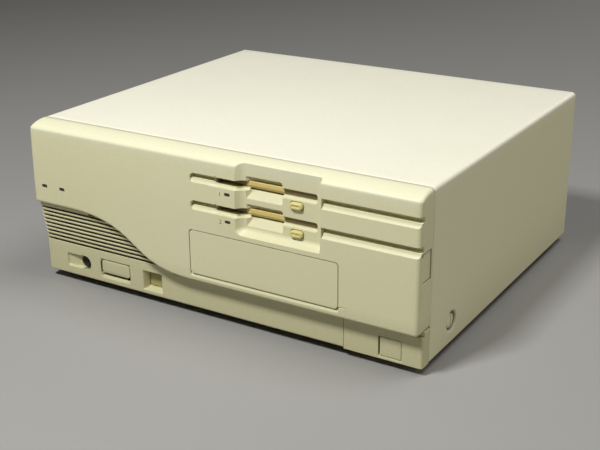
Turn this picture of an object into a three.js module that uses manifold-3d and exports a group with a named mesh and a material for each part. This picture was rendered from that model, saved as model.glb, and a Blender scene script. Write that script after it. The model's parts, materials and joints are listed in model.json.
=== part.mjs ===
// A desktop home computer of about 1990: a low steel and plastic case with two disk drives in front.
// Millimetres, +X to the right, +Y to the back, +Z up. Origin: middle of the footprint, on the table.
import * as THREE from "three";
import { mergeVertices } from "three/addons/utils/BufferGeometryUtils.js";
import Module from "manifold-3d";

const wasm = await Module();
wasm.setup();

// Sizes of the whole case
const CASE_WIDTH = 380;
const CASE_DEPTH = 335;
const CASE_HEIGHT = 150;
const FOOT_HEIGHT = 8;
const BEZEL_DEPTH = 22;
const SHEET = 1.2;
const MOULD_WALL = 2.6;
const COVER_RADIUS = 4;

// Clearances: between pieces that seat on each other, at a visible seam, and past the faces that a cut opens
const FIT = 0.3;
const SEAM = 0.4;
const OVERRUN = 2;

// Counts of steps in round shapes
const CORNER_STEPS = 4;
const SWEEP_STEPS = 20;
const ROUND_SIDES = 24;

// Front bezel: side profile, then the swept lower edge
const NOSE_START = 18;
const NOSE_BREAK = 6.5;
const NOSE_DROP = 2;
const FACE_LEAN = 1;
const FACE_TOP_DROP = 6.5;
const FACE_STRAIGHT_DROP = 60;
const EDGE_RADIUS = 3.5;
const LIP_HEIGHT = 37.6;
const SWEEP_HEIGHT = 76.2;
const SWEEP_FROM_LEFT = 40.4;
const SWEEP_LENGTH = 130.3;
const SWEEP_LEAD_SHARE = 0.61;
const SWEEP_TAIL_SHARE = 0.526;

// Disk slots in the bezel and their shallow styling grooves
const SLOT_DROP = 17;
const SLOT_HEIGHT = 8.1;
const SLOT_WIDTH = 92.6;
const SLOT_FROM_RIGHT = 89.4;
const SLOT_RADIUS = 2;
const DRIVE_PITCH = 23.2;
const SLOT_LIP = 2.4;
const SLOT_LIP_DEPTH = 3.5;
const GROOVE_DEPTH = 6;
const GROOVE_LIP = 0.8;
const LEFT_GROOVE_LENGTH = 23.5;
const LEFT_GROOVE_RADIUS = 3.5;
const DUCT_DEPTH = 10.5;

// Recess round the two slots, and the thumb scoops in its floor
const RECESS_WIDTH = 78.2;
const RECESS_FROM_RIGHT = 83.8;
const RECESS_DEPTH = 6;
const RECESS_LEFT_DRAFT = 10.5;
const RECESS_RIGHT_DRAFT = 1.5;
const RECESS_LOW_DRAFT = 6.5;
const RECESS_COVE_POWER = 1.8;
const RECESS_STEPS = 5;
const RECESS_BELOW_SLOT = 13.7;
const RECESS_LEFT_RADIUS = 6;
const RECESS_RIGHT_RADIUS = 2;
const GROOVE_TO_RECESS = 1;
const SCOOP_WIDTH = 33.6;
const SCOOP_FROM_RECESS = 7.6;
const SCOOP_RISE = 4;
const SCOOP_FALL = 6.5;
const SCOOP_RADIUS = 3;
const SCOOP_DRAFT = 1.5;

// Lights in the bezel
const LIGHT_WIDTH = 5.3;
const LIGHT_HEIGHT = 2.3;
const LIGHT_DEPTH = 4;
const LIGHT_INSET = 0.2;
const POWER_LIGHT_FROM_LEFT = 13.8;
const DISK_LIGHT_FROM_LEFT = 34;
const LIGHT_ABOVE_SWEEP = 17;
const DRIVE_LIGHT_WIDTH = 4.7;
const DRIVE_LIGHT_HEIGHT = 2.2;
const DRIVE_LIGHT_FROM_SLOT = 12.8;
const DRIVE_LIGHT_BELOW_SLOT = 4.8;
const DRIVE_LIGHT_SETBACK = 0.7;

// File bay in the bezel
const BAY_WIDTH = 141;
const BAY_FROM_RIGHT = 67.5;
const BAY_ABOVE_LIP = 6.9;
const BAY_BELOW_DRIVES = 6.3;
const BAY_RADIUS = 3;
const BAY_GAP = 0.7;
const BAY_LIP = 2.6;
const BAY_LIP_DEPTH = 1.6;
const BAY_COVER_DEPTH = 8;

// Latches in the sides of the bezel
const LATCH_WIDTH = 13;
const LATCH_HEIGHT = 24;
const LATCH_FROM_SEAM = 2.5;
const LATCH_ABOVE_SWEEP = 2.8;
const LATCH_GAP = 0.8;
const LATCH_SETBACK = 0.7;
const LATCH_THICKNESS = 2.4;
const LATCH_TRAVEL = 1.5;
const LATCH_TAIL_LENGTH = 9;
const LATCH_TAIL_HEIGHT = 8;

// Lower front panel and its grille
const STRIP_SETBACK = 10;
const PANEL_FROM_RIGHT = 68.5;
const PANEL_RADIUS = 4;
const LEDGE_DROP = 4.6;
const LEDGE_DEPTH = 2.9;
const LEDGE_FROM_SWEEP = 25;
const GRILLE_SETBACK = 4;
const GRILLE_COUNT = 9;
const GRILLE_PITCH = 3.94;
const GRILLE_SLOT = 1.8;
const GRILLE_ABOVE_LIP = 0.6;
const GRILLE_DEPTH = 5.5;
const GRILLE_RIB = 2;
const GRILLE_RIB_COUNT = 4;
const GRILLE_RIB_OVERLAP = 0.6;

// Keyboard socket in the lower panel
const KEYBOARD_RADIUS = 7;
const KEYBOARD_FROM_LEFT = 45;
const KEYBOARD_ABOVE_BASE = 14;
const KEYBOARD_RAMP_LENGTH = 14;
const KEYBOARD_CUP_DEPTH = 8.5;
const KEYBOARD_BODY_DEPTH = 9;
const KEYBOARD_KEY = 3;
const KEYBOARD_PIN_RADIUS = 0.8;
const KEYBOARD_PIN_RING = 3.6;
const KEYBOARD_PINS = 8;
const KEYBOARD_PIN_DEPTH = 3;

// Power and reset buttons in the lower panel
const POWER_WIDTH = 32.2;
const POWER_HEIGHT = 14.6;
const POWER_FROM_LEFT = 64;
const POWER_ABOVE_BASE = 8;
const POWER_RADIUS = 3;
const POWER_PROUD = 2;
const POWER_CAP_DEPTH = 6.5;
const POWER_CHAMFER = 3;
const POWER_TRAVEL = 4;
const STEM_RADIUS = 2.4;
const POWER_STEM_LENGTH = 11;
const RESET_WIDTH = 20.7;
const RESET_HEIGHT = 18.4;
const RESET_FROM_LEFT = 111.7;
const RESET_ABOVE_BASE = 3.6;
const RESET_DEPTH = 4.5;
const RESET_DRAFT = 1.8;
const RESET_BUTTON_HEIGHT = 6;
const RESET_BUTTON_LIFT = 4.6;
const RESET_CAP_DEPTH = 4;
const RESET_STEM_LENGTH = 6;
const RESET_TRAVEL = 2;
const SWITCH_WIDTH = 15;
const SWITCH_DEPTH = 14;
const SWITCH_HEIGHT = 21;

// Lower right cover with its hinged flap over the mode switches
const COVER_DROP = 1;
const RIGHT_CORNER_RADIUS = 2;
const FLAP_WIDTH = 18.4;
const FLAP_HEIGHT = 15.8;
const FLAP_FROM_RIGHT = 17.6;
const FLAP_ABOVE_BASE = 3.2;
const FLAP_THICKNESS = 2.4;
const FLAP_FINGER_GAP = 1.6;
const FLAP_LIP = 1.8;
const FLAP_PIN_RADIUS = 0.5;
const FLAP_PIN_LENGTH = 1.3;
const MODE_SWITCH_DEPTH = 12;
const MODE_SWITCH_COUNT = 6;
const MODE_LEVER = 1.2;
const MODE_LEVER_LENGTH = 1.4;
const MODE_SETBACK = 7;

// Screws that hold the steel cover, in pressed dishes
const SCREW_FROM_FRONT = 62.5;
const SCREW_HEIGHT = 26;
const DISH_RADIUS = 9.4;
const DISH_FLOOR_RADIUS = 6.8;
const DISH_DEPTH = 3;
const SCREW_HEAD_RADIUS = 6;
const SCREW_HEAD_DEPTH = 2;
const SCREW_SHANK_RADIUS = 1.8;
const SCREW_SHANK_LENGTH = 7;
const SCREW_SLOT = 1.2;
const SCREW_SLOT_DEPTH = 1;

// Steel chassis: tray, front frame and rear panel
const FLANGE_HEIGHT = 26;
const COVER_HEM = 8;
const REAR_SETBACK = 5;
const FOOT_RADIUS = 10;
const FOOT_INSET = 32;
const FOOT_FROM_FRAME = 22;
const FRAME_SILL = 2;
const FRAME_WINDOW_INSET = 12;
const FRAME_WINDOW_LENGTH = 43.4;
const FRAME_WINDOW_MARGIN = 5.2;
const STANDOFF_HEIGHT = 6;
const STANDOFF_RADIUS = 3;
const STANDOFF_INSET = 12;

// Disk drive, from its frame's lower front edge
const DRIVE_WIDTH = 101.6;
const DRIVE_DEPTH = 140;
const DRIVE_HEIGHT = 22;
const DRIVE_ABOVE_SLOT = 2.5;
const DRIVE_WALL = 1.6;
const DRIVE_LID = 1;
const DRIVE_FRONT_DEPTH = 4;
const DISK_LENGTH = 95;
const DISK_HEIGHT = 5;
const DISK_LEDGE = 5;
const FLAP_DOOR_THICKNESS = 1.2;
const FLAP_DOOR_HEIGHT = 7.2;
const EJECT_WIDTH = 11.6;
const EJECT_HEIGHT = 5.8;
const EJECT_GAP = 0.6;
const EJECT_ROUND_SHARE = 0.96;
const EJECT_FROM_CENTRE = 28;
const EJECT_BELOW_SLOT = 4;
const EJECT_PROUD = 2;
const EJECT_CAP_DEPTH = 9.2;
const EJECT_STEM = 4;
const SLED_THICKNESS = 1.2;
const SLED_WIDTH = 14;
const SLED_LENGTH = 78;
const SLED_FROM_FRONT = 7;
const SLED_RIB = 2;
const SPINDLE_Y = 51;
const ROTOR_RADIUS = 25;
const ROTOR_HEIGHT = 4.5;
const HUB_RADIUS = 12;
const HUB_BELOW_DISK = 0.5;
const BEARING_RADIUS = 2.5;
const CARRIAGE_Y = 104;
const CARRIAGE_WIDTH = 26;
const CARRIAGE_LENGTH = 20;
const CARRIAGE_LIFT = 1.3;
const ARM_CLEARANCE = 0.5;
const ROD_X = 18;
const ROD_RADIUS = 1.5;
const ROD_Z = 6;
const ROD_LENGTH = 54;
const ROD_LOBE = 1.3;
const ROD_LOBE_LENGTH = 8;
const CARRIAGE_HEIGHT = 4.4;
const ARM_REACH = 18;
const ARM_WIDTH = 12;
const ARM_THICKNESS = 1.6;
const POST_LENGTH = 7;
const SCREW_X = 18;
const LEAD_RADIUS = 1.5;
const LEAD_LENGTH = 26;
const LEAD_BOSS = 2.4;
const MOTOR_RADIUS = 8;
const MOTOR_LENGTH = 13;

// Bay cage, drive bracket and expansion cage, of thin sheet
const CAGE_SHEET = 1;
const CAGE_LENGTH = 150;
const CAGE_LEG_LENGTH = 70;
const EXPANSION_WIDTH = 162;
const EXPANSION_BEHIND_DRIVES = 33.4;
const EXPANSION_LOW = 40;
const EXPANSION_DROP = 18;
const EXPANSION_COUNT = 4;
const EXPANSION_FROM_RIGHT = 8;
const SLOT_PLATE_LIP = 3;
const GUIDE_DEPTH = 4;
const BACKPLANE_THICKNESS = 1.6;
const EDGE_CONNECTOR_HEIGHT = 9;
const EDGE_CONNECTOR_DEPTH = 8;
const EDGE_CONNECTOR_INSET = 28;

// Power supply, fan and mains sockets
const SUPPLY_WIDTH = 108;
const SUPPLY_LENGTH = 112;
const SUPPLY_DROP = 22.5;
const SUPPLY_FROM_LEFT = 10;
const FAN_ABOVE_INLET = 8;
const FAN_BELOW_SUPPLY_TOP = 3.5;
const FAN_DEPTH = 25;
const FAN_RIM = 3;
const FAN_HUB = 16;
const FAN_BLADES = 7;
const FAN_BLADE_TIP = 1.5;
const FAN_BLADE_THICKNESS = 1.6;
const FAN_BLADE_PITCH_SHARE = 0.2;
const FAN_STRUT = 4;
const FAN_HUB_DEPTH = 18;
const FAN_PLATE = 3;
const FAN_ROOT_SHARE = 0.7;
const FAN_SHAFT = 3;
const GRILLE_BAR = 3;
const GRILLE_GAP = 5;
const INLET_WIDTH = 27;
const INLET_HEIGHT = 20;
const INLET_DEPTH = 20;
const INLET_FLANGE = 3;
const INLET_FLANGE_DEPTH = 2.4;
const INLET_WALL = 2.5;
const INLET_RADIUS = 4;
const INLET_CUP = 15;
const INLET_HEIGHT_ABOVE_BASE = 18;
const INLET_SPACING = 46;
const BLADE_WIDTH = 2;
const BLADE_HEIGHT = 4;
const BLADE_LENGTH = 10;
const BLADE_SPACING = 7;
const BLADE_RISE = 4;

// Main board and what stands on it
const BOARD_THICKNESS = 1.6;
const BOARD_FROM_FRONT = 107;
const BOARD_FROM_LEFT = 124;
const BOARD_FROM_RIGHT = 10;
const CHIP_HEIGHT = 3;
const CHIP_SIZE_SHARE = 0.68;
const CHIP_ROWS = 2;
const CHIP_COLUMNS = 5;
const SINK_HEIGHT = 12;
const SINK_FINS = 7;
const SINK_FIN = 1.4;
const PORT_PROUD = 4;
const PORT_DEPTH = 14;
const PORT_HEIGHT = 12.5;
const PORT_RADIUS = 2.5;
const SERIAL_WIDTH = 53;
const DISPLAY_WIDTH = 39;
const PRINTER_WIDTH = 40;
const MOUSE_RADIUS = 7;
const PORT_GAP_SHARE = 0.14;
const PORT_FLANGE_SHARE = 0.35;
const PORT_FLANGE_DEPTH = 1;
const PIN_HOLE_DEPTH = 2.5;

// Speaker behind the grille
const SPEAKER_RADIUS = 18;
const SPEAKER_MAGNET = 10;
const SPEAKER_RIM = 2;
const SPEAKER_DEPTH = 12;
const SPEAKER_FROM_LEFT = 40;
const SPEAKER_HEIGHT = 55;

// Places worked out from the sizes
const LEFT = -CASE_WIDTH / 2;
const RIGHT = CASE_WIDTH / 2;
const FRONT = -CASE_DEPTH / 2;
const BACK = CASE_DEPTH / 2;
const BASE_Z = FOOT_HEIGHT;
const FLOOR_Z = BASE_Z + SHEET;
const SEAM_Y = FRONT + BEZEL_DEPTH;
const STRIP_Y = FRONT + STRIP_SETBACK;
const STRIP_BACK_Y = STRIP_Y + MOULD_WALL;
const SWEEP_START_X = LEFT + SWEEP_FROM_LEFT;
const SWEEP_END_X = SWEEP_START_X + SWEEP_LENGTH;
const PANEL_END_X = RIGHT - PANEL_FROM_RIGHT;
const LEDGE_Z = LIP_HEIGHT - LEDGE_DROP;
const LEDGE_BACK_Y = STRIP_Y + LEDGE_DEPTH;
const LEDGE_START_X = SWEEP_END_X - LEDGE_FROM_SWEEP;
const GRILLE_TOP_Y = FRONT + GRILLE_SETBACK;
const FACE_STRAIGHT_Z = CASE_HEIGHT - FACE_STRAIGHT_DROP;
const SLOT_X1 = RIGHT - SLOT_FROM_RIGHT;
const SLOT_X0 = SLOT_X1 - SLOT_WIDTH;
const SLOT_HIGH_Z = CASE_HEIGHT - SLOT_DROP;
const SLOT_LOW_Z = SLOT_HIGH_Z - SLOT_HEIGHT;
const RECESS_X1 = RIGHT - RECESS_FROM_RIGHT;
const RECESS_X0 = RECESS_X1 - RECESS_WIDTH;
const RECESS_Z0 = SLOT_LOW_Z - DRIVE_PITCH - RECESS_BELOW_SLOT;
const RECESS_Y = FRONT + RECESS_DEPTH;
const DUCT_Y = FRONT + DUCT_DEPTH;
const DRIVE_X = (SLOT_X0 + SLOT_X1) / 2;
const DRIVE_Y = DUCT_Y + FIT + DRIVE_FRONT_DEPTH + FIT;
const UPPER_DRIVE_Z = SLOT_HIGH_Z + DRIVE_ABOVE_SLOT - DRIVE_HEIGHT;
const LOWER_DRIVE_Z = UPPER_DRIVE_Z - DRIVE_PITCH;
const BAY_X1 = RIGHT - BAY_FROM_RIGHT;
const BAY_X0 = BAY_X1 - BAY_WIDTH;
const BAY_Z0 = LIP_HEIGHT + BAY_ABOVE_LIP;
const BAY_Z1 = LOWER_DRIVE_Z - BAY_BELOW_DRIVES;
const LIGHT_Z = SWEEP_HEIGHT + LIGHT_ABOVE_SWEEP;
const LATCH_LOW = SWEEP_HEIGHT + LATCH_ABOVE_SWEEP;
const LATCH_Y1 = SEAM_Y - LATCH_FROM_SEAM;
const LATCH_Y0 = LATCH_Y1 - LATCH_WIDTH;
const KEYBOARD_X = LEFT + KEYBOARD_FROM_LEFT;
const KEYBOARD_Z = BASE_Z + KEYBOARD_ABOVE_BASE;
const POWER_X0 = LEFT + POWER_FROM_LEFT;
const POWER_X1 = POWER_X0 + POWER_WIDTH;
const POWER_Z0 = BASE_Z + POWER_ABOVE_BASE;
const POWER_Z1 = POWER_Z0 + POWER_HEIGHT;
const RESET_X0 = LEFT + RESET_FROM_LEFT;
const RESET_X1 = RESET_X0 + RESET_WIDTH;
const RESET_Z0 = BASE_Z + RESET_ABOVE_BASE;
const RESET_Z1 = RESET_Z0 + RESET_HEIGHT;
const RESET_BUTTON_X0 = RESET_X0 + RESET_DRAFT;
const RESET_BUTTON_X1 = RESET_X1 - RESET_DRAFT;
const RESET_BUTTON_Z0 = RESET_Z0 + RESET_BUTTON_LIFT;
const RESET_BUTTON_Z1 = RESET_BUTTON_Z0 + RESET_BUTTON_HEIGHT;
const RESET_BUTTON_Y = STRIP_Y + RESET_DEPTH;
const RIGHT_COVER_Z = BASE_Z - COVER_DROP;
const FLAP_X1 = RIGHT - FLAP_FROM_RIGHT;
const FLAP_X0 = FLAP_X1 - FLAP_WIDTH;
const FLAP_Z0 = RIGHT_COVER_Z + FLAP_ABOVE_BASE;
const FLAP_Z1 = FLAP_Z0 + FLAP_HEIGHT;
const SCREW_Y = FRONT + SCREW_FROM_FRONT;
const DISH_BACK_X = RIGHT - DISH_DEPTH - SHEET;
const FLANGE_X = DISH_BACK_X - FIT;
const FRAME_Y = SEAM_Y + FIT;
const REAR_Y = BACK - REAR_SETBACK;
const REAR_INNER_Y = REAR_Y - SHEET;
const TRAY_X = RIGHT - SHEET - FIT;
const PANEL_TOP_Z = CASE_HEIGHT - SHEET - FIT;
const FRAME_BACK_Y = FRAME_Y + SHEET + FIT;
const SILL_Z = FLOOR_Z + FRAME_SILL;
const BOARD_Z = FLOOR_Z + STANDOFF_HEIGHT;
const BOARD_TOP_Z = BOARD_Z + BOARD_THICKNESS;
const BOARD_X0 = LEFT + BOARD_FROM_LEFT;
const BOARD_X1 = RIGHT - BOARD_FROM_RIGHT;
const BOARD_Y0 = FRONT + BOARD_FROM_FRONT;
const BOARD_Y1 = REAR_INNER_Y - PORT_FLANGE_DEPTH - FIT;
const CHIP_PITCH = (BOARD_X1 - BOARD_X0 - STANDOFF_INSET * 4) / CHIP_COLUMNS;
const CHIP_SIZE = CHIP_PITCH * CHIP_SIZE_SHARE;
const PORT_WIDTHS = PRINTER_WIDTH + SERIAL_WIDTH + DISPLAY_WIDTH + MOUSE_RADIUS * 2;
const PORT_GAP = (BOARD_X1 - BOARD_X0 - PORT_WIDTHS) * PORT_GAP_SHARE;
const PORT_FLANGE = PORT_GAP * PORT_FLANGE_SHARE;
const SUPPLY_X0 = LEFT + SUPPLY_FROM_LEFT;
const SUPPLY_X1 = SUPPLY_X0 + SUPPLY_WIDTH;
const FAN_X = (SUPPLY_X0 + SUPPLY_X1) / 2;
const FAN_Y1 = REAR_INNER_Y - FIT;
const FAN_Y0 = FAN_Y1 - FAN_DEPTH;
const SUPPLY_Y1 = FAN_Y0 - FIT;
const SUPPLY_Y0 = SUPPLY_Y1 - SUPPLY_LENGTH;
const INLET_Z = BASE_Z + INLET_HEIGHT_ABOVE_BASE;
const SUPPLY_Z1 = CASE_HEIGHT - SUPPLY_DROP;
const FAN_Z0 = INLET_Z + INLET_HEIGHT / 2 + FAN_ABOVE_INLET;
const FAN_Z1 = SUPPLY_Z1 - FAN_BELOW_SUPPLY_TOP;
const FAN_SIZE = FAN_Z1 - FAN_Z0;
const FAN_HEIGHT = (FAN_Z0 + FAN_Z1) / 2;
const FAN_BORE = FAN_SIZE / 2 - FAN_RIM;
const EXPANSION_X1 = RIGHT - EXPANSION_FROM_RIGHT;
const EXPANSION_X0 = EXPANSION_X1 - EXPANSION_WIDTH;
const EXPANSION_Y1 = REAR_INNER_Y - FIT;
const EXPANSION_Y0 = DRIVE_Y + DRIVE_DEPTH + EXPANSION_BEHIND_DRIVES;
const EXPANSION_HIGH = CASE_HEIGHT - EXPANSION_DROP;
const EXPANSION_PITCH = (EXPANSION_HIGH - EXPANSION_LOW) / EXPANSION_COUNT;
const CAGE_X0 = BAY_X0 - CAGE_SHEET - FIT;
const CAGE_X1 = BAY_X1 + CAGE_SHEET + FIT;
const CAGE_Y0 = FRAME_BACK_Y;
const BRACKET_Z0 = LOWER_DRIVE_Z - FIT - CAGE_SHEET;
const CAGE_Z0 = BAY_Z0 - CAGE_SHEET;
const CAGE_Z1 = BRACKET_Z0 - FIT;

// Disk drive places, in the drive's own frame
const LOCAL_SLOT_HIGH = DRIVE_HEIGHT - DRIVE_ABOVE_SLOT;
const LOCAL_SLOT_LOW = LOCAL_SLOT_HIGH - SLOT_HEIGHT;
const DISK_TOP = LOCAL_SLOT_LOW + DISK_HEIGHT;
const EJECT_Z = LOCAL_SLOT_LOW - EJECT_BELOW_SLOT;
const SLED_Z = EJECT_Z;
const LEAD_Z = DRIVE_WALL + FIT + MOTOR_RADIUS;
const MOTOR_Y0 = DRIVE_DEPTH - DRIVE_WALL - FIT - MOTOR_LENGTH;
const LEAD_Y1 = MOTOR_Y0 - FIT;
const LEAD_Y0 = LEAD_Y1 - LEAD_LENGTH;

// Axes that an outline is extruded along: x and y of the outline become the two axes named first
const YZ_ALONG_X = new THREE.Matrix4().makeBasis(
  new THREE.Vector3(0, 1, 0),
  new THREE.Vector3(0, 0, 1),
  new THREE.Vector3(1, 0, 0),
);
const XZ_ALONG_Y = new THREE.Matrix4().makeBasis(
  new THREE.Vector3(1, 0, 0),
  new THREE.Vector3(0, 0, 1),
  new THREE.Vector3(0, -1, 0),
);
const XY_ALONG_Z = new THREE.Matrix4();

// A closed geometry as a solid that can be joined and cut
function solid(geometry) {
  const bare = geometry.clone();
  bare.deleteAttribute("normal");
  bare.deleteAttribute("uv");
  const merged = mergeVertices(bare);
  return new wasm.Manifold(
    new wasm.Mesh({
      numProp: 3,
      vertProperties: merged.attributes.position.array,
      triVerts: new Uint32Array(merged.index.array),
    }),
  );
}

function join(first, ...others) {
  return others.reduce((whole, next) => whole.add(next), first);
}

function cut(first, ...others) {
  return others.reduce((rest, next) => rest.subtract(next), first);
}

// A box between two corners
function block(x0, x1, y0, y1, z0, z1) {
  const geometry = new THREE.BoxGeometry(x1 - x0, y1 - y0, z1 - z0);
  geometry.translate((x0 + x1) / 2, (y0 + y1) / 2, (z0 + z1) / 2);
  return solid(geometry);
}

function extrusion(shape, basis, low, high, steps = CORNER_STEPS) {
  const geometry = new THREE.ExtrudeGeometry(shape, {
    depth: high - low,
    bevelEnabled: false,
    curveSegments: steps,
  });
  geometry.translate(0, 0, low);
  geometry.applyMatrix4(basis);
  return solid(geometry);
}

const alongX = (shape, x0, x1, steps) => extrusion(shape, YZ_ALONG_X, x0, x1, steps);
const alongY = (shape, y0, y1, steps) => extrusion(shape, XZ_ALONG_Y, -y1, -y0, steps);
const alongZ = (shape, z0, z1, steps) => extrusion(shape, XY_ALONG_Z, z0, z1, steps);

// A solid through outlines of equal point counts, each at its own distance along the third axis
function loft(outlines, basis) {
  const count = outlines[0].points.length;
  const position = outlines.flatMap(({ at, points }) => points.flatMap((point) => [point.x, point.y, at]));
  const last = (outlines.length - 1) * count;
  const cap = THREE.ShapeUtils.triangulateShape(outlines[0].points, []);
  const index = [];
  for (const [a, b, c] of cap) {
    index.push(a, c, b, last + a, last + b, last + c);
  }
  for (let ring = 0; ring < last; ring += count) {
    for (let i = 0; i < count; i += 1) {
      const a = ring + i;
      const b = ring + ((i + 1) % count);
      index.push(a, b, b + count, a, b + count, a + count);
    }
  }
  const geometry = new THREE.BufferGeometry();
  geometry.setAttribute("position", new THREE.Float32BufferAttribute(position, 3));
  geometry.setIndex(index);
  geometry.applyMatrix4(basis);
  return solid(geometry);
}

// A round bar along an axis: centre is the two other coordinates, in X, Y, Z order
function roundBar(axis, radius, from, to, centre, sides = ROUND_SIDES) {
  const geometry = new THREE.CylinderGeometry(radius, radius, to - from, sides);
  const middle = (from + to) / 2;
  if (axis === "x") {
    geometry.rotateZ(Math.PI / 2);
    geometry.translate(middle, centre[0], centre[1]);
  }
  if (axis === "y") {
    geometry.translate(centre[0], middle, centre[1]);
  }
  if (axis === "z") {
    geometry.rotateX(Math.PI / 2);
    geometry.translate(centre[0], centre[1], middle);
  }
  return solid(geometry);
}

// A rectangle with round corners
function roundedOutline(x0, x1, y0, y1, radius) {
  const quarter = Math.PI / 2;
  const shape = new THREE.Shape();
  shape.absarc(x1 - radius, y0 + radius, radius, -quarter, 0);
  shape.absarc(x1 - radius, y1 - radius, radius, 0, quarter);
  shape.absarc(x0 + radius, y1 - radius, radius, quarter, Math.PI);
  shape.absarc(x0 + radius, y0 + radius, radius, Math.PI, Math.PI + quarter);
  return shape;
}

// A closed outline through points given as pairs
function outline(...pairs) {
  return new THREE.Shape(pairs.map(([x, y]) => new THREE.Vector2(x, y)));
}

const points = (shape) => shape.getPoints(CORNER_STEPS);

// Pattern of equal steps centred on zero
function centred(count, pitch) {
  return Array.from({ length: count }, (_, i) => (i - (count - 1) / 2) * pitch);
}

const FINISHES = {
  plastic: { color: 0xc8c598, roughness: 0.55, metalness: 0 },
  paint: { color: 0xe8e4cf, roughness: 0.6, metalness: 0 },
  yellowed: { color: 0xd2bc68, roughness: 0.5, metalness: 0 },
  button: { color: 0xe6dc90, roughness: 0.5, metalness: 0 },
  dark: { color: 0x20201e, roughness: 0.4, metalness: 0 },
  lens: { color: 0x2c2a22, roughness: 0.2, metalness: 0 },
  rubber: { color: 0x1b1b1b, roughness: 0.9, metalness: 0 },
  steel: { color: 0xb4b5b2, roughness: 0.4, metalness: 0.9 },
  aluminium: { color: 0xc6c8c9, roughness: 0.35, metalness: 0.9 },
  board: { color: 0x1f5a3a, roughness: 0.5, metalness: 0 },
};

const computer = new THREE.Group();

// Adds a solid to the assembly as a named mesh with a material of its own
function addPart(name, finish, made, parent = computer) {
  const mesh = made.getMesh();
  const geometry = new THREE.BufferGeometry();
  geometry.setAttribute("position", new THREE.Float32BufferAttribute(mesh.vertProperties, mesh.numProp));
  geometry.setIndex(Array.from(mesh.triVerts));
  const faceted = geometry.toNonIndexed();
  faceted.computeVertexNormals();
  const part = new THREE.Mesh(faceted, new THREE.MeshStandardMaterial(FINISHES[finish]));
  part.name = name;
  parent.add(part);
  return part;
}

// The sweep of the lower edge, from left to right or back, at a height offset
function sweepForward(shape, rise) {
  const lead = SWEEP_START_X + SWEEP_LENGTH * SWEEP_LEAD_SHARE;
  const tail = SWEEP_END_X - SWEEP_LENGTH * SWEEP_TAIL_SHARE;
  const high = SWEEP_HEIGHT + rise;
  const low = LIP_HEIGHT + rise;
  shape.lineTo(SWEEP_START_X, high);
  shape.bezierCurveTo(lead, high, tail, low, SWEEP_END_X, low);
}

function sweepBack(shape, rise) {
  const lead = SWEEP_START_X + SWEEP_LENGTH * SWEEP_LEAD_SHARE;
  const tail = SWEEP_END_X - SWEEP_LENGTH * SWEEP_TAIL_SHARE;
  const high = SWEEP_HEIGHT + rise;
  const low = LIP_HEIGHT + rise;
  shape.lineTo(SWEEP_END_X, low);
  shape.bezierCurveTo(tail, low, lead, high, SWEEP_START_X, high);
}

// Adds a quarter circle to an outline in a few straight steps, from an angle on
function quarterTurn(shape, x, y, radius, from) {
  for (let i = 0; i <= CORNER_STEPS; i += 1) {
    const angle = from + ((i / CORNER_STEPS) * Math.PI) / 2;
    shape.lineTo(x + radius * Math.cos(angle), y + radius * Math.sin(angle));
  }
}

// Front view of the bezel, drawn in by inset on every side, with the cover's round upper corners
function bezelOutline(inset) {
  const radius = COVER_RADIUS - inset / 2;
  const high = CASE_HEIGHT - inset - radius;
  const shape = new THREE.Shape();
  shape.moveTo(LEFT + inset, SWEEP_HEIGHT + inset);
  sweepForward(shape, inset);
  shape.lineTo(RIGHT - inset, LIP_HEIGHT + inset);
  quarterTurn(shape, RIGHT - inset - radius, high, radius, 0);
  quarterTurn(shape, LEFT + inset + radius, high, radius, Math.PI / 2);
  return shape;
}

// Side view of the bezel: a flat top, a falling nose and a face that leans out as it goes down
function bezelProfile(inset, backY) {
  const top = CASE_HEIGHT - inset;
  const face = FRONT + inset;
  const low = LIP_HEIGHT - OVERRUN;
  const bendY = (NOSE_START + NOSE_BREAK) / 2;
  const slope = NOSE_DROP / (bendY - NOSE_BREAK);
  const bendZ = top - NOSE_DROP - slope * (NOSE_BREAK - FACE_LEAN);
  const shape = new THREE.Shape();
  shape.moveTo(backY, low);
  shape.lineTo(backY, top);
  shape.lineTo(face + NOSE_START, top);
  shape.quadraticCurveTo(face + bendY, top, face + NOSE_BREAK, top - NOSE_DROP);
  shape.quadraticCurveTo(face + FACE_LEAN, bendZ, face + FACE_LEAN, top - FACE_TOP_DROP);
  shape.quadraticCurveTo(face, (top - FACE_TOP_DROP + FACE_STRAIGHT_Z) / 2, face, FACE_STRAIGHT_Z);
  shape.lineTo(face, low);
  return shape;
}

// The bezel's outer form: its front view with rounded edges, cut to its side view
function bezelBlank() {
  const depth = BEZEL_DEPTH + OVERRUN;
  const geometry = new THREE.ExtrudeGeometry(bezelOutline(0), {
    depth: depth - EDGE_RADIUS - OVERRUN,
    bevelThickness: EDGE_RADIUS,
    bevelSize: EDGE_RADIUS,
    bevelOffset: -EDGE_RADIUS,
    bevelSegments: CORNER_STEPS,
    curveSegments: SWEEP_STEPS,
  });
  geometry.translate(0, 0, -FRONT - depth + OVERRUN);
  geometry.applyMatrix4(XZ_ALONG_Y);
  const front = solid(geometry);
  return front.intersect(alongX(bezelProfile(0, SEAM_Y - SEAM), LEFT - OVERRUN, RIGHT + OVERRUN));
}

// Trough under a level ceiling: its floor curves up from its lip at frontY to its back edge
function trough(x0, x1, frontY, depth, lowZ, backZ, highZ) {
  const outerY = frontY - RECESS_DEPTH - OVERRUN;
  const section = new THREE.Shape();
  section.moveTo(outerY, highZ);
  section.lineTo(outerY, lowZ);
  section.lineTo(frontY, lowZ);
  section.quadraticCurveTo(frontY + depth, lowZ, frontY + depth, backZ);
  section.lineTo(frontY + depth, highZ);
  return alongX(section, x0, x1);
}

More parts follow.
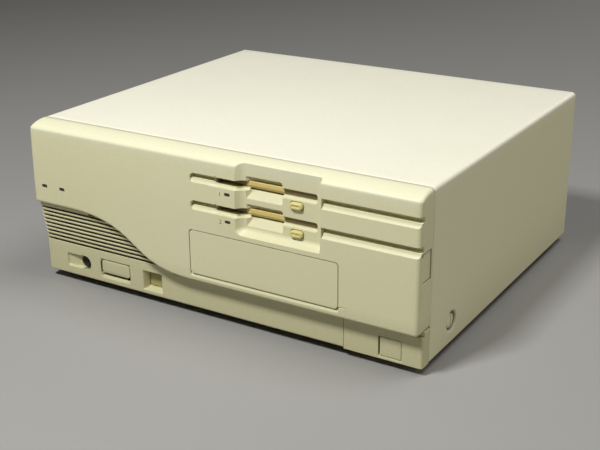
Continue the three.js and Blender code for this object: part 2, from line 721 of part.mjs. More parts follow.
// Opening for one drive: the through slot over its lip, a groove at each side and the thumb scoop
function slotCuts(highZ) {
  const lowZ = highZ - SLOT_HEIGHT;
  const throughZ = lowZ + SLOT_LIP;
  const through = alongY(
    roundedOutline(SLOT_X0, SLOT_X1, throughZ, highZ, SLOT_RADIUS),
    FRONT - OVERRUN,
    DUCT_Y + OVERRUN,
  );
  const grooveX0 = SLOT_X0 - LEFT_GROOVE_LENGTH;
  const rightX0 = RECESS_X1 + GROOVE_TO_RECESS;
  const backZ = highZ - GROOVE_LIP;
  const roundEnds = alongY(
    roundedOutline(grooveX0, SLOT_X1, lowZ, highZ, LEFT_GROOVE_RADIUS),
    FRONT - OVERRUN,
    DUCT_Y,
  );
  const left = join(
    trough(grooveX0, SLOT_X0 + SLOT_RADIUS, FRONT, GROOVE_DEPTH, lowZ, backZ, highZ),
    trough(SLOT_X0, RECESS_X0 + RECESS_LEFT_DRAFT / 2, FRONT, SLOT_LIP_DEPTH, lowZ, throughZ, highZ),
    trough(RECESS_X0, SLOT_X1, RECESS_Y, SLOT_LIP_DEPTH, lowZ, throughZ, highZ),
  ).intersect(roundEnds);
  const right = trough(rightX0, RIGHT + OVERRUN, FRONT, GROOVE_DEPTH, lowZ - GROOVE_LIP, backZ, highZ);
  return join(through, left, right, scoopCut(lowZ, highZ));
}

// Tapering pocket above and below a slot, for a thumb and finger on the disk
function scoopCut(lowZ, highZ) {
  const x0 = RECESS_X0 + SCOOP_FROM_RECESS;
  const x1 = x0 + SCOOP_WIDTH;
  const wide = points(roundedOutline(x0, x1, lowZ - SCOOP_FALL, highZ + SCOOP_RISE, SCOOP_RADIUS));
  const narrow = points(
    roundedOutline(x0 + SCOOP_DRAFT, x1 - SCOOP_DRAFT, lowZ + SLOT_LIP, highZ, SLOT_RADIUS),
  );
  const sections = [
    { at: -DUCT_Y, points: narrow },
    { at: -RECESS_Y, points: wide },
    { at: -RECESS_Y + OVERRUN, points: wide },
  ];
  return loft(sections, XZ_ALONG_Y);
}

// Recess outline at a share of its depth: its walls draw in faster as they come near the floor
function recessOutline(share) {
  const drawn = share ** RECESS_COVE_POWER;
  const x0 = RECESS_X0 + RECESS_LEFT_DRAFT * drawn;
  const x1 = RECESS_X1 - RECESS_RIGHT_DRAFT * drawn;
  const z0 = RECESS_Z0 + RECESS_LOW_DRAFT * drawn;
  const shape = new THREE.Shape();
  shape.moveTo(x0 + RECESS_LEFT_RADIUS, z0);
  shape.lineTo(x1 - RECESS_RIGHT_RADIUS, z0);
  quarterTurn(shape, x1 - RECESS_RIGHT_RADIUS, z0 + RECESS_RIGHT_RADIUS, RECESS_RIGHT_RADIUS, -Math.PI / 2);
  shape.lineTo(x1, CASE_HEIGHT);
  shape.lineTo(x0, CASE_HEIGHT);
  quarterTurn(shape, x0 + RECESS_LEFT_RADIUS, z0 + RECESS_LEFT_RADIUS, RECESS_LEFT_RADIUS, Math.PI);
  return shape.getPoints();
}

// Recess with curved walls round both slots, running out over the nose
function recessCut() {
  const sunk = Array.from({ length: RECESS_STEPS }, (_, i) => {
    const share = 1 - i / RECESS_STEPS;
    return { at: -FRONT - RECESS_DEPTH * share, points: recessOutline(share) };
  });
  const face = recessOutline(0);
  return loft([...sunk, { at: -FRONT, points: face }, { at: -FRONT + OVERRUN, points: face }], XZ_ALONG_Y);
}

// Thick places behind the bezel's face that the recess, slots and grooves are sunk in
function bezelPads() {
  const recess = block(
    RECESS_X0 - MOULD_WALL,
    RECESS_X1 + MOULD_WALL,
    FRONT,
    DUCT_Y,
    RECESS_Z0 - MOULD_WALL,
    CASE_HEIGHT - MOULD_WALL / 2,
  );
  const pads = [SLOT_HIGH_Z, SLOT_HIGH_Z - DRIVE_PITCH].flatMap((highZ) => {
    const z0 = highZ - SLOT_HEIGHT - MOULD_WALL;
    const z1 = highZ + MOULD_WALL;
    const leftX = SLOT_X0 - LEFT_GROOVE_LENGTH - MOULD_WALL;
    const grooveY = FRONT + GROOVE_DEPTH + MOULD_WALL;
    return [
      block(leftX, RECESS_X0, FRONT, grooveY, z0, z1),
      block(SLOT_X0 - MOULD_WALL, RECESS_X0, FRONT, DUCT_Y, z0, z1),
      block(RECESS_X1, RIGHT, FRONT, grooveY, z0, z1),
    ];
  });
  return join(recess, ...pads);
}

// Holes for the lights, eject buttons, file bay and side latches
function bezelHoles() {
  const lights = [POWER_LIGHT_FROM_LEFT, DISK_LIGHT_FROM_LEFT].map((fromLeft) =>
    lightBlock(LEFT + fromLeft, LIGHT_Z, LIGHT_WIDTH, LIGHT_HEIGHT, FRONT - OVERRUN, BEZEL_DEPTH, FIT),
  );
  const drives = [0, 1].flatMap((level) => {
    const slotLow = SLOT_LOW_Z - level * DRIVE_PITCH;
    const ejectZ = slotLow - EJECT_BELOW_SLOT;
    return [
      driveLightBlock(slotLow, FRONT - OVERRUN, BEZEL_DEPTH, FIT),
      ejectBar(DRIVE_X + EJECT_FROM_CENTRE, ejectZ, FRONT, SEAM_Y, EJECT_GAP),
    ];
  });
  const bay = alongY(roundedOutline(BAY_X0, BAY_X1, BAY_Z0, BAY_Z1, BAY_RADIUS), FRONT - OVERRUN, SEAM_Y);
  return join(...lights, ...drives, bay, bayLip(), latchHole(LEFT), latchHole(RIGHT));
}

// Slope along the lower edge of the file bay's opening
function bayLip() {
  const inner = points(roundedOutline(BAY_X0, BAY_X1, BAY_Z0, BAY_Z1, BAY_RADIUS));
  const outer = points(roundedOutline(BAY_X0, BAY_X1, BAY_Z0 - BAY_LIP, BAY_Z1, BAY_RADIUS));
  return loft(
    [
      { at: -FRONT - BAY_LIP_DEPTH, points: inner },
      { at: -FRONT, points: outer },
      { at: -FRONT + OVERRUN, points: outer },
    ],
    XZ_ALONG_Y,
  );
}

function latchHole(side) {
  const reach = MOULD_WALL + OVERRUN;
  return block(side - reach, side + reach, LATCH_Y0, LATCH_Y1, LATCH_LOW, LATCH_LOW + LATCH_HEIGHT);
}

function lightBlock(x, z, width, height, y0, depth, grow) {
  const halfWidth = width / 2 + grow;
  const halfHeight = height / 2 + grow;
  return block(x - halfWidth, x + halfWidth, y0, y0 + depth, z - halfHeight, z + halfHeight);
}

function driveLightBlock(slotLow, y0, depth, grow) {
  const x = SLOT_X0 + DRIVE_LIGHT_FROM_SLOT;
  const z = slotLow - DRIVE_LIGHT_BELOW_SLOT;
  return lightBlock(x, z, DRIVE_LIGHT_WIDTH, DRIVE_LIGHT_HEIGHT, y0, depth, grow);
}

// Long bar with half-round ends, the shape of an eject button
function ejectBar(x, z, y0, y1, grow) {
  const halfWidth = EJECT_WIDTH / 2 + grow;
  const halfHeight = EJECT_HEIGHT / 2 + grow;
  const radius = halfHeight * EJECT_ROUND_SHARE;
  return alongY(
    roundedOutline(x - halfWidth, x + halfWidth, z - halfHeight, z + halfHeight, radius),
    y0,
    y1,
  );
}

function addFrontBezel() {
  const outer = bezelBlank();
  const cavity = alongY(bezelOutline(MOULD_WALL), FRONT, SEAM_Y, SWEEP_STEPS).intersect(
    alongX(bezelProfile(MOULD_WALL, SEAM_Y + OVERRUN), LEFT, RIGHT),
  );
  const shell = join(cut(outer, cavity), bezelPads().intersect(outer));
  const slots = [SLOT_HIGH_Z, SLOT_HIGH_Z - DRIVE_PITCH].map(slotCuts);
  addPart("front_bezel", "plastic", cut(shell, recessCut(), ...slots, bezelHoles()));
}

// Front view of the lower panel: everything under the bezel's swept edge, up to the right cover
function panelOutline(inset) {
  const low = BASE_Z + inset;
  const right = PANEL_END_X - inset;
  const shape = new THREE.Shape();
  shape.moveTo(LEFT + inset, low);
  shape.lineTo(right, low);
  shape.lineTo(right, LIP_HEIGHT - SEAM - inset);
  sweepBack(shape, -SEAM - inset);
  shape.lineTo(LEFT + inset, SWEEP_HEIGHT - SEAM - inset);
  return shape;
}

// Plan of a front moulding with one round front corner, on the left or right side of the case
function cornerPlan(x0, x1, frontY, backY, side, radius) {
  const quarter = Math.PI / 2;
  const shape = new THREE.Shape();
  if (side === LEFT) {
    shape.absarc(x0 + radius, frontY + radius, radius, Math.PI, Math.PI + quarter);
    shape.lineTo(x1, frontY);
    shape.lineTo(x1, backY);
    shape.lineTo(x0, backY);
  } else {
    shape.moveTo(x0, backY);
    shape.lineTo(x0, frontY);
    shape.absarc(x1 - radius, frontY + radius, radius, -quarter, 0);
    shape.lineTo(x1, backY);
  }
  return points(shape);
}

// The panel's body drawn in by inset: an upright strip that leans out above into the grille
function panelBody(inset, backY) {
  const x0 = LEFT + inset;
  const x1 = PANEL_END_X - inset;
  const radius = PANEL_RADIUS - inset / 2;
  const strip = cornerPlan(x0, x1, STRIP_Y + inset, backY, LEFT, radius);
  const grille = cornerPlan(x0, x1, GRILLE_TOP_Y + inset, backY, LEFT, radius);
  const lean = [
    { at: BASE_Z - OVERRUN, points: strip },
    { at: LIP_HEIGHT, points: strip },
    { at: SWEEP_HEIGHT, points: grille },
  ];
  const front = alongY(panelOutline(inset), FRONT, backY, SWEEP_STEPS);
  return loft(lean, XY_ALONG_Z).intersect(front);
}

// Open slots between the grille's bars, running round the left corner
function grilleSlots() {
  const slots = Array.from({ length: GRILLE_COUNT }, (_, i) => {
    const z = LIP_HEIGHT + GRILLE_ABOVE_LIP + i * GRILLE_PITCH;
    const backY = GRILLE_TOP_Y + GRILLE_DEPTH + MOULD_WALL;
    return block(LEFT - OVERRUN, SWEEP_END_X, FRONT, backY, z, z + GRILLE_SLOT);
  });
  return join(...slots);
}

// Upright ribs behind the grille that carry its bars
function grilleRibs() {
  const backY = GRILLE_TOP_Y + GRILLE_DEPTH + MOULD_WALL * 2;
  const behind = MOULD_WALL - GRILLE_RIB_OVERLAP;
  const section = outline(
    [backY, LIP_HEIGHT - MOULD_WALL],
    [backY, SWEEP_HEIGHT],
    [GRILLE_TOP_Y + behind, SWEEP_HEIGHT],
    [STRIP_Y + behind, LIP_HEIGHT],
    [STRIP_Y + behind, LIP_HEIGHT - MOULD_WALL],
  );
  const pitch = SWEEP_LENGTH / GRILLE_RIB_COUNT;
  const ribs = Array.from({ length: GRILLE_RIB_COUNT }, (_, i) => {
    const x = LEFT + (i + 1) * pitch - pitch / 2;
    return alongX(section, x, x + GRILLE_RIB);
  });
  const under = alongY(panelOutline(GRILLE_RIB / 2), FRONT, backY + OVERRUN, SWEEP_STEPS);
  return join(...ribs).intersect(under);
}

// The ledge under the bezel's lip: a floor, a set-back wall and the notch in front of them
function ledge(x0, x1) {
  const floorZ = LEDGE_Z - MOULD_WALL;
  const section = outline(
    [STRIP_Y, floorZ],
    [LEDGE_BACK_Y + MOULD_WALL, floorZ],
    [LEDGE_BACK_Y + MOULD_WALL, LIP_HEIGHT - SEAM],
    [LEDGE_BACK_Y, LIP_HEIGHT - SEAM],
    [LEDGE_BACK_Y, LEDGE_Z],
    [STRIP_Y, LEDGE_Z],
  );
  return alongX(section, x0, x1);
}

function ledgeNotch(x0, x1) {
  return block(x0, x1, FRONT, LEDGE_BACK_Y, LEDGE_Z, LIP_HEIGHT + OVERRUN);
}

// Cup behind the strip that holds the keyboard socket, and the hollow with its finger ramp
function keyboardCup() {
  const radius = KEYBOARD_RADIUS + MOULD_WALL;
  const deepY = STRIP_Y + KEYBOARD_CUP_DEPTH;
  const left = KEYBOARD_X - KEYBOARD_RADIUS - KEYBOARD_RAMP_LENGTH - MOULD_WALL;
  return alongY(
    roundedOutline(left, KEYBOARD_X + radius, KEYBOARD_Z - radius, KEYBOARD_Z + radius, radius - FIT),
    STRIP_BACK_Y - FIT,
    deepY,
  );
}

function keyboardHollow() {
  const radius = KEYBOARD_RADIUS;
  const deepY = STRIP_Y + KEYBOARD_CUP_DEPTH;
  const rampX = KEYBOARD_X - radius - KEYBOARD_RAMP_LENGTH;
  const hole = roundBar("y", radius, STRIP_Y - OVERRUN, deepY + OVERRUN, [KEYBOARD_X, KEYBOARD_Z]);
  const ramp = alongZ(
    outline(
      [rampX - OVERRUN, STRIP_Y - OVERRUN],
      [KEYBOARD_X, STRIP_Y - OVERRUN],
      [KEYBOARD_X, deepY - MOULD_WALL],
      [rampX, STRIP_Y],
    ),
    KEYBOARD_Z - radius,
    KEYBOARD_Z + radius,
  );
  return join(hole, ramp);
}

// The power button's opening, wider at the face along its lower edge
function powerHollow() {
  const through = alongY(
    roundedOutline(POWER_X0, POWER_X1, POWER_Z0, POWER_Z1, POWER_RADIUS),
    STRIP_Y - OVERRUN,
    STRIP_BACK_Y + OVERRUN,
  );
  const chamfer = alongX(
    outline(
      [STRIP_Y - OVERRUN, POWER_Z0],
      [STRIP_Y - OVERRUN, POWER_Z0 - POWER_CHAMFER],
      [STRIP_Y, POWER_Z0 - POWER_CHAMFER],
      [STRIP_Y + POWER_CHAMFER / 2, POWER_Z0],
      [STRIP_Y + POWER_CHAMFER / 2, POWER_Z0 + POWER_RADIUS],
      [STRIP_Y - OVERRUN, POWER_Z0 + POWER_RADIUS],
    ),
    POWER_X0 + POWER_RADIUS,
    POWER_X1 - POWER_RADIUS,
  );
  return join(through, chamfer);
}

// The reset button's funnel and the opening in its bottom
function resetHollow() {
  const mouth = points(roundedOutline(RESET_X0, RESET_X1, RESET_Z0, RESET_Z1, RESET_DRAFT));
  const bottom = points(
    roundedOutline(
      RESET_X0 + RESET_DRAFT,
      RESET_X1 - RESET_DRAFT,
      RESET_Z0 + RESET_DRAFT,
      RESET_Z1 - RESET_DRAFT,
      RESET_DRAFT / 2,
    ),
  );
  const funnel = loft(
    [
      { at: -RESET_BUTTON_Y, points: bottom },
      { at: -STRIP_Y, points: mouth },
      { at: -STRIP_Y + OVERRUN, points: mouth },
    ],
    XZ_ALONG_Y,
  );
  const through = block(
    RESET_BUTTON_X0,
    RESET_BUTTON_X1,
    RESET_BUTTON_Y - OVERRUN,
    RESET_BUTTON_Y + RESET_CAP_DEPTH + MOULD_WALL,
    RESET_Z0 + RESET_DRAFT * 2,
    RESET_Z1 - RESET_DRAFT,
  );
  return join(funnel, through);
}

function resetPad() {
  return block(
    RESET_X0 - MOULD_WALL,
    RESET_X1 + MOULD_WALL,
    STRIP_BACK_Y - FIT,
    RESET_BUTTON_Y + MOULD_WALL,
    BASE_Z + SHEET,
    RESET_Z1 + MOULD_WALL,
  );
}

function addLowerPanel() {
  const shell = cut(panelBody(0, SEAM_Y - SEAM), panelBody(MOULD_WALL, SEAM_Y + OVERRUN));
  const ledgeEnd = PANEL_END_X - MOULD_WALL / 2;
  const solidParts = join(shell, keyboardCup(), resetPad(), ledge(LEDGE_START_X, ledgeEnd));
  const opened = cut(
    solidParts,
    keyboardHollow(),
    powerHollow(),
    resetHollow(),
    ledgeNotch(LEDGE_START_X, PANEL_END_X + OVERRUN),
    grilleSlots(),
  );
  addPart("lower_front_panel", "plastic", join(opened, grilleRibs()));
}

// Right-hand part of the lower front, round the case's front corner
function rightCoverBody(inset, backY) {
  const x0 = PANEL_END_X + SEAM + inset;
  const x1 = RIGHT - inset;
  const plan = cornerPlan(x0, x1, STRIP_Y + inset, backY, RIGHT, RIGHT_CORNER_RADIUS - inset / 2);
  const low = RIGHT_COVER_Z + inset;
  const high = LIP_HEIGHT - SEAM - inset;
  return loft(
    [
      { at: low, points: plan },
      { at: high, points: plan },
    ],
    XY_ALONG_Z,
  );
}

function flapAxis() {
  return { x: FLAP_X1 - FLAP_THICKNESS / 2, y: STRIP_Y + FLAP_THICKNESS / 2 };
}

function addLowerRightCover() {
  const backY = SEAM_Y - SEAM;
  const outer = rightCoverBody(0, backY);
  const shell = cut(outer, rightCoverBody(MOULD_WALL, backY + OVERRUN));
  const x0 = PANEL_END_X + SEAM;
  const shelf = ledge(x0 + MOULD_WALL / 2, RIGHT - MOULD_WALL / 2).intersect(outer);
  const window = block(
    FLAP_X0 - FLAP_FINGER_GAP,
    FLAP_X1 + FIT,
    STRIP_Y - OVERRUN,
    STRIP_BACK_Y + OVERRUN,
    FLAP_Z0 - FIT,
    FLAP_Z1 + FIT,
  );
  const lip = alongX(
    outline(
      [STRIP_Y - OVERRUN, FLAP_Z0],
      [STRIP_Y - OVERRUN, FLAP_Z0 - FLAP_LIP],
      [STRIP_Y, FLAP_Z0 - FLAP_LIP],
      [STRIP_Y + FLAP_LIP / 2, FLAP_Z0],
    ),
    FLAP_X0 - FLAP_FINGER_GAP,
    FLAP_X1 + FIT,
  );
  const { x, y } = flapAxis();
  const pinHole = roundBar(
    "z",
    FLAP_PIN_RADIUS + FIT,
    FLAP_Z0 - FLAP_PIN_LENGTH - FIT * 2,
    FLAP_Z1 + FLAP_PIN_LENGTH + FIT * 2,
    [x, y],
  );
  const notch = ledgeNotch(x0 - OVERRUN, RIGHT + OVERRUN);
  addPart("lower_right_cover", "plastic", cut(join(shell, shelf), window, lip, pinHole, notch));
}

// Small door hinged on two pins at its right edge, its hinge edge rounded about the pins
function addSwitchFlap() {
  const { x, y } = flapAxis();
  const radius = FLAP_THICKNESS / 2;
  const plate = block(FLAP_X0, x, STRIP_Y, STRIP_Y + FLAP_THICKNESS, FLAP_Z0, FLAP_Z1);
  const knuckle = roundBar("z", radius, FLAP_Z0, FLAP_Z1, [x, y]);
  const pin = roundBar("z", FLAP_PIN_RADIUS, FLAP_Z0 - FLAP_PIN_LENGTH, FLAP_Z1 + FLAP_PIN_LENGTH, [x, y]);
  addPart("switch_flap", "plastic", join(plate, knuckle, pin));
}

// Block of small slide switches behind the flap, on a foot that stands on the tray
function addModeSwitches() {
  const y0 = STRIP_Y + MODE_SETBACK;
  const y1 = y0 + MODE_SWITCH_DEPTH;
  const housing = block(FLAP_X0, FLAP_X1, y0, y1, SILL_Z + FIT, FLAP_Z1);
  const foot = block(FLAP_X0, FLAP_X1, FRAME_BACK_Y, y1, FLOOR_Z, SILL_Z + FIT * 2);
  const middle = (FLAP_X0 + FLAP_X1) / 2;
  const pitch = FLAP_WIDTH / (MODE_SWITCH_COUNT + 1);
  const levers = centred(MODE_SWITCH_COUNT, pitch).map((offset, i) => {
    const z = (FLAP_Z0 + FLAP_Z1) / 2 + (i % 2 === 0 ? MODE_LEVER : -MODE_LEVER);
    const x = middle + offset;
    return block(
      x - MODE_LEVER / 2,
      x + MODE_LEVER / 2,
      y0 - MODE_LEVER_LENGTH,
      y0 + FIT,
      z - MODE_LEVER,
      z + MODE_LEVER,
    );
  });
  addPart("mode_switches", "dark", join(housing, foot, ...levers));
}

// Steel cover: a top and two sides bent from one sheet, with a hem round the back edge
function coverOutline(inset, lowZ) {
  const radius = COVER_RADIUS - inset / 2;
  const quarter = Math.PI / 2;
  const shape = new THREE.Shape();
  shape.moveTo(LEFT + inset, lowZ);
  shape.lineTo(RIGHT - inset, lowZ);
  shape.absarc(RIGHT - inset - radius, CASE_HEIGHT - inset - radius, radius, 0, quarter);
  shape.absarc(LEFT + inset + radius, CASE_HEIGHT - inset - radius, radius, quarter, Math.PI);
  return shape;
}

function addTopCover() {
  const lowest = BASE_Z - OVERRUN;
  const skin = cut(
    alongY(coverOutline(0, BASE_Z), SEAM_Y, BACK),
    alongY(coverOutline(SHEET, lowest), SEAM_Y - OVERRUN, BACK - SHEET),
    alongY(coverOutline(COVER_HEM, lowest), SEAM_Y, BACK + OVERRUN),
  );
  const dishes = [LEFT, RIGHT].map((side) => {
    const inward = side === LEFT ? 1 : -1;
    const near = side + inward * (SHEET / 2);
    const deep = side + inward * (DISH_DEPTH + SHEET);
    return sideTaper(near, DISH_RADIUS + SHEET, deep, DISH_FLOOR_RADIUS + SHEET);
  });
  const hollows = [LEFT, RIGHT].map((side) => {
    const inward = side === LEFT ? 1 : -1;
    const dish = sideTaper(side, DISH_RADIUS, side + inward * DISH_DEPTH, DISH_FLOOR_RADIUS);
    const mouth = sideBar(DISH_RADIUS, side - inward * OVERRUN, side);
    const hole = sideBar(SCREW_SHANK_RADIUS + FIT, side, side + inward * (DISH_DEPTH + SHEET + OVERRUN));
    return join(dish, mouth, hole);
  });
  addPart("top_cover", "paint", cut(join(skin, ...dishes), ...hollows));
}

// Round bar across the case on the line of a cover screw
function sideBar(radius, xA, xB, sides) {
  return roundBar("x", radius, Math.min(xA, xB), Math.max(xA, xB), [SCREW_Y, SCREW_HEIGHT], sides);
}

// Round taper across the case on the same line, with its radius at each end
function sideTaper(xA, radiusA, xB, radiusB) {
  const [low, high] = xA < xB ? [radiusA, radiusB] : [radiusB, radiusA];
  const geometry = new THREE.CylinderGeometry(low, high, Math.abs(xB - xA), ROUND_SIDES);
  geometry.rotateZ(Math.PI / 2);
  geometry.translate((xA + xB) / 2, SCREW_Y, SCREW_HEIGHT);
  return solid(geometry);
}

// Slotted screw in each dish of the cover, threaded into the tray's flange
function addCoverScrew(name, side) {
  const inward = side === LEFT ? 1 : -1;
  const seat = side + inward * (DISH_DEPTH - FIT);
  const head = sideBar(SCREW_HEAD_RADIUS, seat, seat - inward * SCREW_HEAD_DEPTH);
  const shank = sideBar(SCREW_SHANK_RADIUS, seat, seat + inward * SCREW_SHANK_LENGTH);
  const outer = seat - inward * SCREW_HEAD_DEPTH;
  const slotX = [outer - inward * OVERRUN, outer + inward * SCREW_SLOT_DEPTH].sort((a, b) => a - b);
  const slot = block(
    slotX[0],
    slotX[1],
    SCREW_Y - SCREW_SLOT / 2,
    SCREW_Y + SCREW_SLOT / 2,
    SCREW_HEIGHT - SCREW_HEAD_RADIUS - OVERRUN,
    SCREW_HEIGHT + SCREW_HEAD_RADIUS + OVERRUN,
  );
  addPart(name, "steel", cut(join(head, shank), slot));
}

// Press latch of the bezel: a tongue in the side window with a tail that reaches behind the chassis
function addBezelLatch(name, side) {
  const inward = side === LEFT ? 1 : -1;
  const outer = side + inward * LATCH_SETBACK;
  const inner = outer + inward * LATCH_THICKNESS;
  const [x0, x1] = [outer, inner].sort((a, b) => a - b);
  const tongue = block(
    x0,
    x1,
    LATCH_Y0 + FIT,
    LATCH_Y1 - FIT,
    LATCH_LOW + LATCH_GAP,
    LATCH_LOW + LATCH_HEIGHT - LATCH_GAP,
  );
  const midZ = LATCH_LOW + LATCH_HEIGHT / 2;
  const tailHalf = LATCH_TAIL_HEIGHT / 2;
  const [t0, t1] = [inner, inner + inward * LATCH_THICKNESS].sort((a, b) => a - b);
  const tail = block(t0, t1, LATCH_Y0 + FIT, LATCH_Y1 + LATCH_TAIL_LENGTH, midZ - tailHalf, midZ + tailHalf);
  addPart(name, "plastic", join(tongue, tail));
}

// Snap-in cover of the file bay: a plate with a shallow skirt behind
function addFileBayCover() {
  const x0 = BAY_X0 + BAY_GAP;
  const x1 = BAY_X1 - BAY_GAP;
  const z0 = BAY_Z0 + BAY_GAP;
  const z1 = BAY_Z1 - BAY_GAP;
  const outer = alongY(roundedOutline(x0, x1, z0, z1, BAY_RADIUS), FRONT, FRONT + BAY_COVER_DEPTH);
  const hollow = alongY(
    roundedOutline(x0 + MOULD_WALL, x1 - MOULD_WALL, z0 + MOULD_WALL, z1 - MOULD_WALL, BAY_RADIUS / 2),
    FRONT + MOULD_WALL,
    FRONT + BAY_COVER_DEPTH + OVERRUN,
  );
  addPart("file_bay_cover", "plastic", cut(outer, hollow));
}

function addLights() {
  const y0 = FRONT + LIGHT_INSET;
  const x = LEFT + POWER_LIGHT_FROM_LEFT;
  const power = lightBlock(x, LIGHT_Z, LIGHT_WIDTH, LIGHT_HEIGHT, y0, LIGHT_DEPTH, 0);
  addPart("power_light", "lens", power);
  const diskX = LEFT + DISK_LIGHT_FROM_LEFT;
  addPart("disk_light", "lens", lightBlock(diskX, LIGHT_Z, LIGHT_WIDTH, LIGHT_HEIGHT, y0, LIGHT_DEPTH, 0));
}

// Round socket at the bottom of the keyboard cup: an insulator with a ring of pin holes and a key
function addKeyboardSocket() {
  const y0 = STRIP_Y + KEYBOARD_CUP_DEPTH - KEYBOARD_RADIUS / 2;
  const body = roundBar("y", KEYBOARD_RADIUS - FIT, y0, y0 + KEYBOARD_BODY_DEPTH, [KEYBOARD_X, KEYBOARD_Z]);
  const holes = Array.from({ length: KEYBOARD_PINS }, (_, i) => {
    const angle = (i * Math.PI * 2) / KEYBOARD_PINS;
    const centre = [
      KEYBOARD_X + KEYBOARD_PIN_RING * Math.sin(angle),
      KEYBOARD_Z + KEYBOARD_PIN_RING * Math.cos(angle),
    ];
    return roundBar("y", KEYBOARD_PIN_RADIUS, y0 - OVERRUN, y0 + KEYBOARD_PIN_DEPTH, centre, KEYBOARD_PINS);
  });
  const key = block(
    KEYBOARD_X - KEYBOARD_KEY / 2,
    KEYBOARD_X + KEYBOARD_KEY / 2,
    y0 - OVERRUN,
    y0 + KEYBOARD_PIN_DEPTH,
    KEYBOARD_Z - KEYBOARD_PIN_RADIUS,
    KEYBOARD_Z + KEYBOARD_PIN_RADIUS,
  );
  addPart("keyboard_socket", "dark", cut(body, ...holes, key));
}

function addPowerButton() {
  const y0 = STRIP_Y - POWER_PROUD;
  const capY = y0 + POWER_CAP_DEPTH;
  const cap = alongY(
    roundedOutline(
      POWER_X0 + SEAM,
      POWER_X1 - SEAM,
      POWER_Z0 + SEAM * 2,
      POWER_Z1 - SEAM,
      POWER_RADIUS - SEAM,
    ),
    y0,
    capY,
  );
  const centre = [(POWER_X0 + POWER_X1) / 2, (POWER_Z0 + POWER_Z1) / 2];
  const stem = roundBar("y", STEM_RADIUS, capY - FIT, capY + POWER_STEM_LENGTH, centre);
  addPart("power_button", "plastic", join(cap, stem));
}

function addResetButton() {
  const cap = block(
    RESET_BUTTON_X0 + SEAM,
    RESET_BUTTON_X1 - SEAM,
    RESET_BUTTON_Y,
    RESET_BUTTON_Y + RESET_CAP_DEPTH,
    RESET_BUTTON_Z0,
    RESET_BUTTON_Z1,
  );
  const y = RESET_BUTTON_Y + RESET_CAP_DEPTH;
  const centre = [(RESET_X0 + RESET_X1) / 2, (RESET_BUTTON_Z0 + RESET_BUTTON_Z1) / 2];
  const stem = roundBar("y", STEM_RADIUS, y - FIT, y + RESET_STEM_LENGTH, centre);
  addPart("reset_button", "button", join(cap, stem));
}

// Switch body on the tray with a bore that a button's stem slides into
function addSwitch(name, x, stemZ, stemY0, stemY1, travel) {
  const y0 = stemY0 + travel + FIT;
  const y1 = y0 + SWITCH_DEPTH;
  const x0 = x - SWITCH_WIDTH / 2;
  const x1 = x + SWITCH_WIDTH / 2;
  const body = block(x0, x1, y0, y1, SILL_Z + FIT, SILL_Z + SWITCH_HEIGHT);
  const foot = block(x0, x1, FRAME_BACK_Y, y1, FLOOR_Z, SILL_Z + FIT * 2);
  const bore = roundBar("y", STEM_RADIUS + FIT, y0 - OVERRUN, stemY1 + travel + FIT, [x, stemZ]);
  addPart(name, "dark", cut(join(body, foot), bore));
}

function addSwitches() {
  const powerY = STRIP_Y - POWER_PROUD + POWER_CAP_DEPTH;
  const powerX = (POWER_X0 + POWER_X1) / 2;
  const powerZ = (POWER_Z0 + POWER_Z1) / 2;
  addSwitch("power_switch", powerX, powerZ, powerY, powerY + POWER_STEM_LENGTH, POWER_TRAVEL);
  const resetY = RESET_BUTTON_Y + RESET_CAP_DEPTH;
  const resetX = (RESET_X0 + RESET_X1) / 2;
  const resetZ = (RESET_BUTTON_Z0 + RESET_BUTTON_Z1) / 2;
  addSwitch("reset_switch", resetX, resetZ, resetY, resetY + RESET_STEM_LENGTH, RESET_TRAVEL);
}

// Floor of the case with an upright flange along each side and standoffs for the main board
function addChassisTray() {
  const floor = block(-TRAY_X, TRAY_X, FRAME_Y, REAR_Y, BASE_Z, FLOOR_Z);
  const flangeY0 = FRAME_BACK_Y;
  const flangeY1 = REAR_INNER_Y - FIT;
  const flangeZ = FLOOR_Z + FLANGE_HEIGHT;
  const flanges = [
    block(-FLANGE_X, SHEET - FLANGE_X, flangeY0, flangeY1, BASE_Z, flangeZ),
    block(FLANGE_X - SHEET, FLANGE_X, flangeY0, flangeY1, BASE_Z, flangeZ),
  ];
  const standoffs = [BOARD_X0 + STANDOFF_INSET, BOARD_X1 - STANDOFF_INSET].flatMap((x) =>
    [BOARD_Y0 + STANDOFF_INSET, BOARD_Y1 - STANDOFF_INSET].map((y) =>
      roundBar("z", STANDOFF_RADIUS, BASE_Z, BOARD_Z - FIT, [x, y]),
    ),
  );
  const holes = sideBar(SCREW_SHANK_RADIUS + FIT, LEFT, RIGHT);
  addPart("chassis_tray", "steel", cut(join(floor, ...flanges, ...standoffs), holes));
}

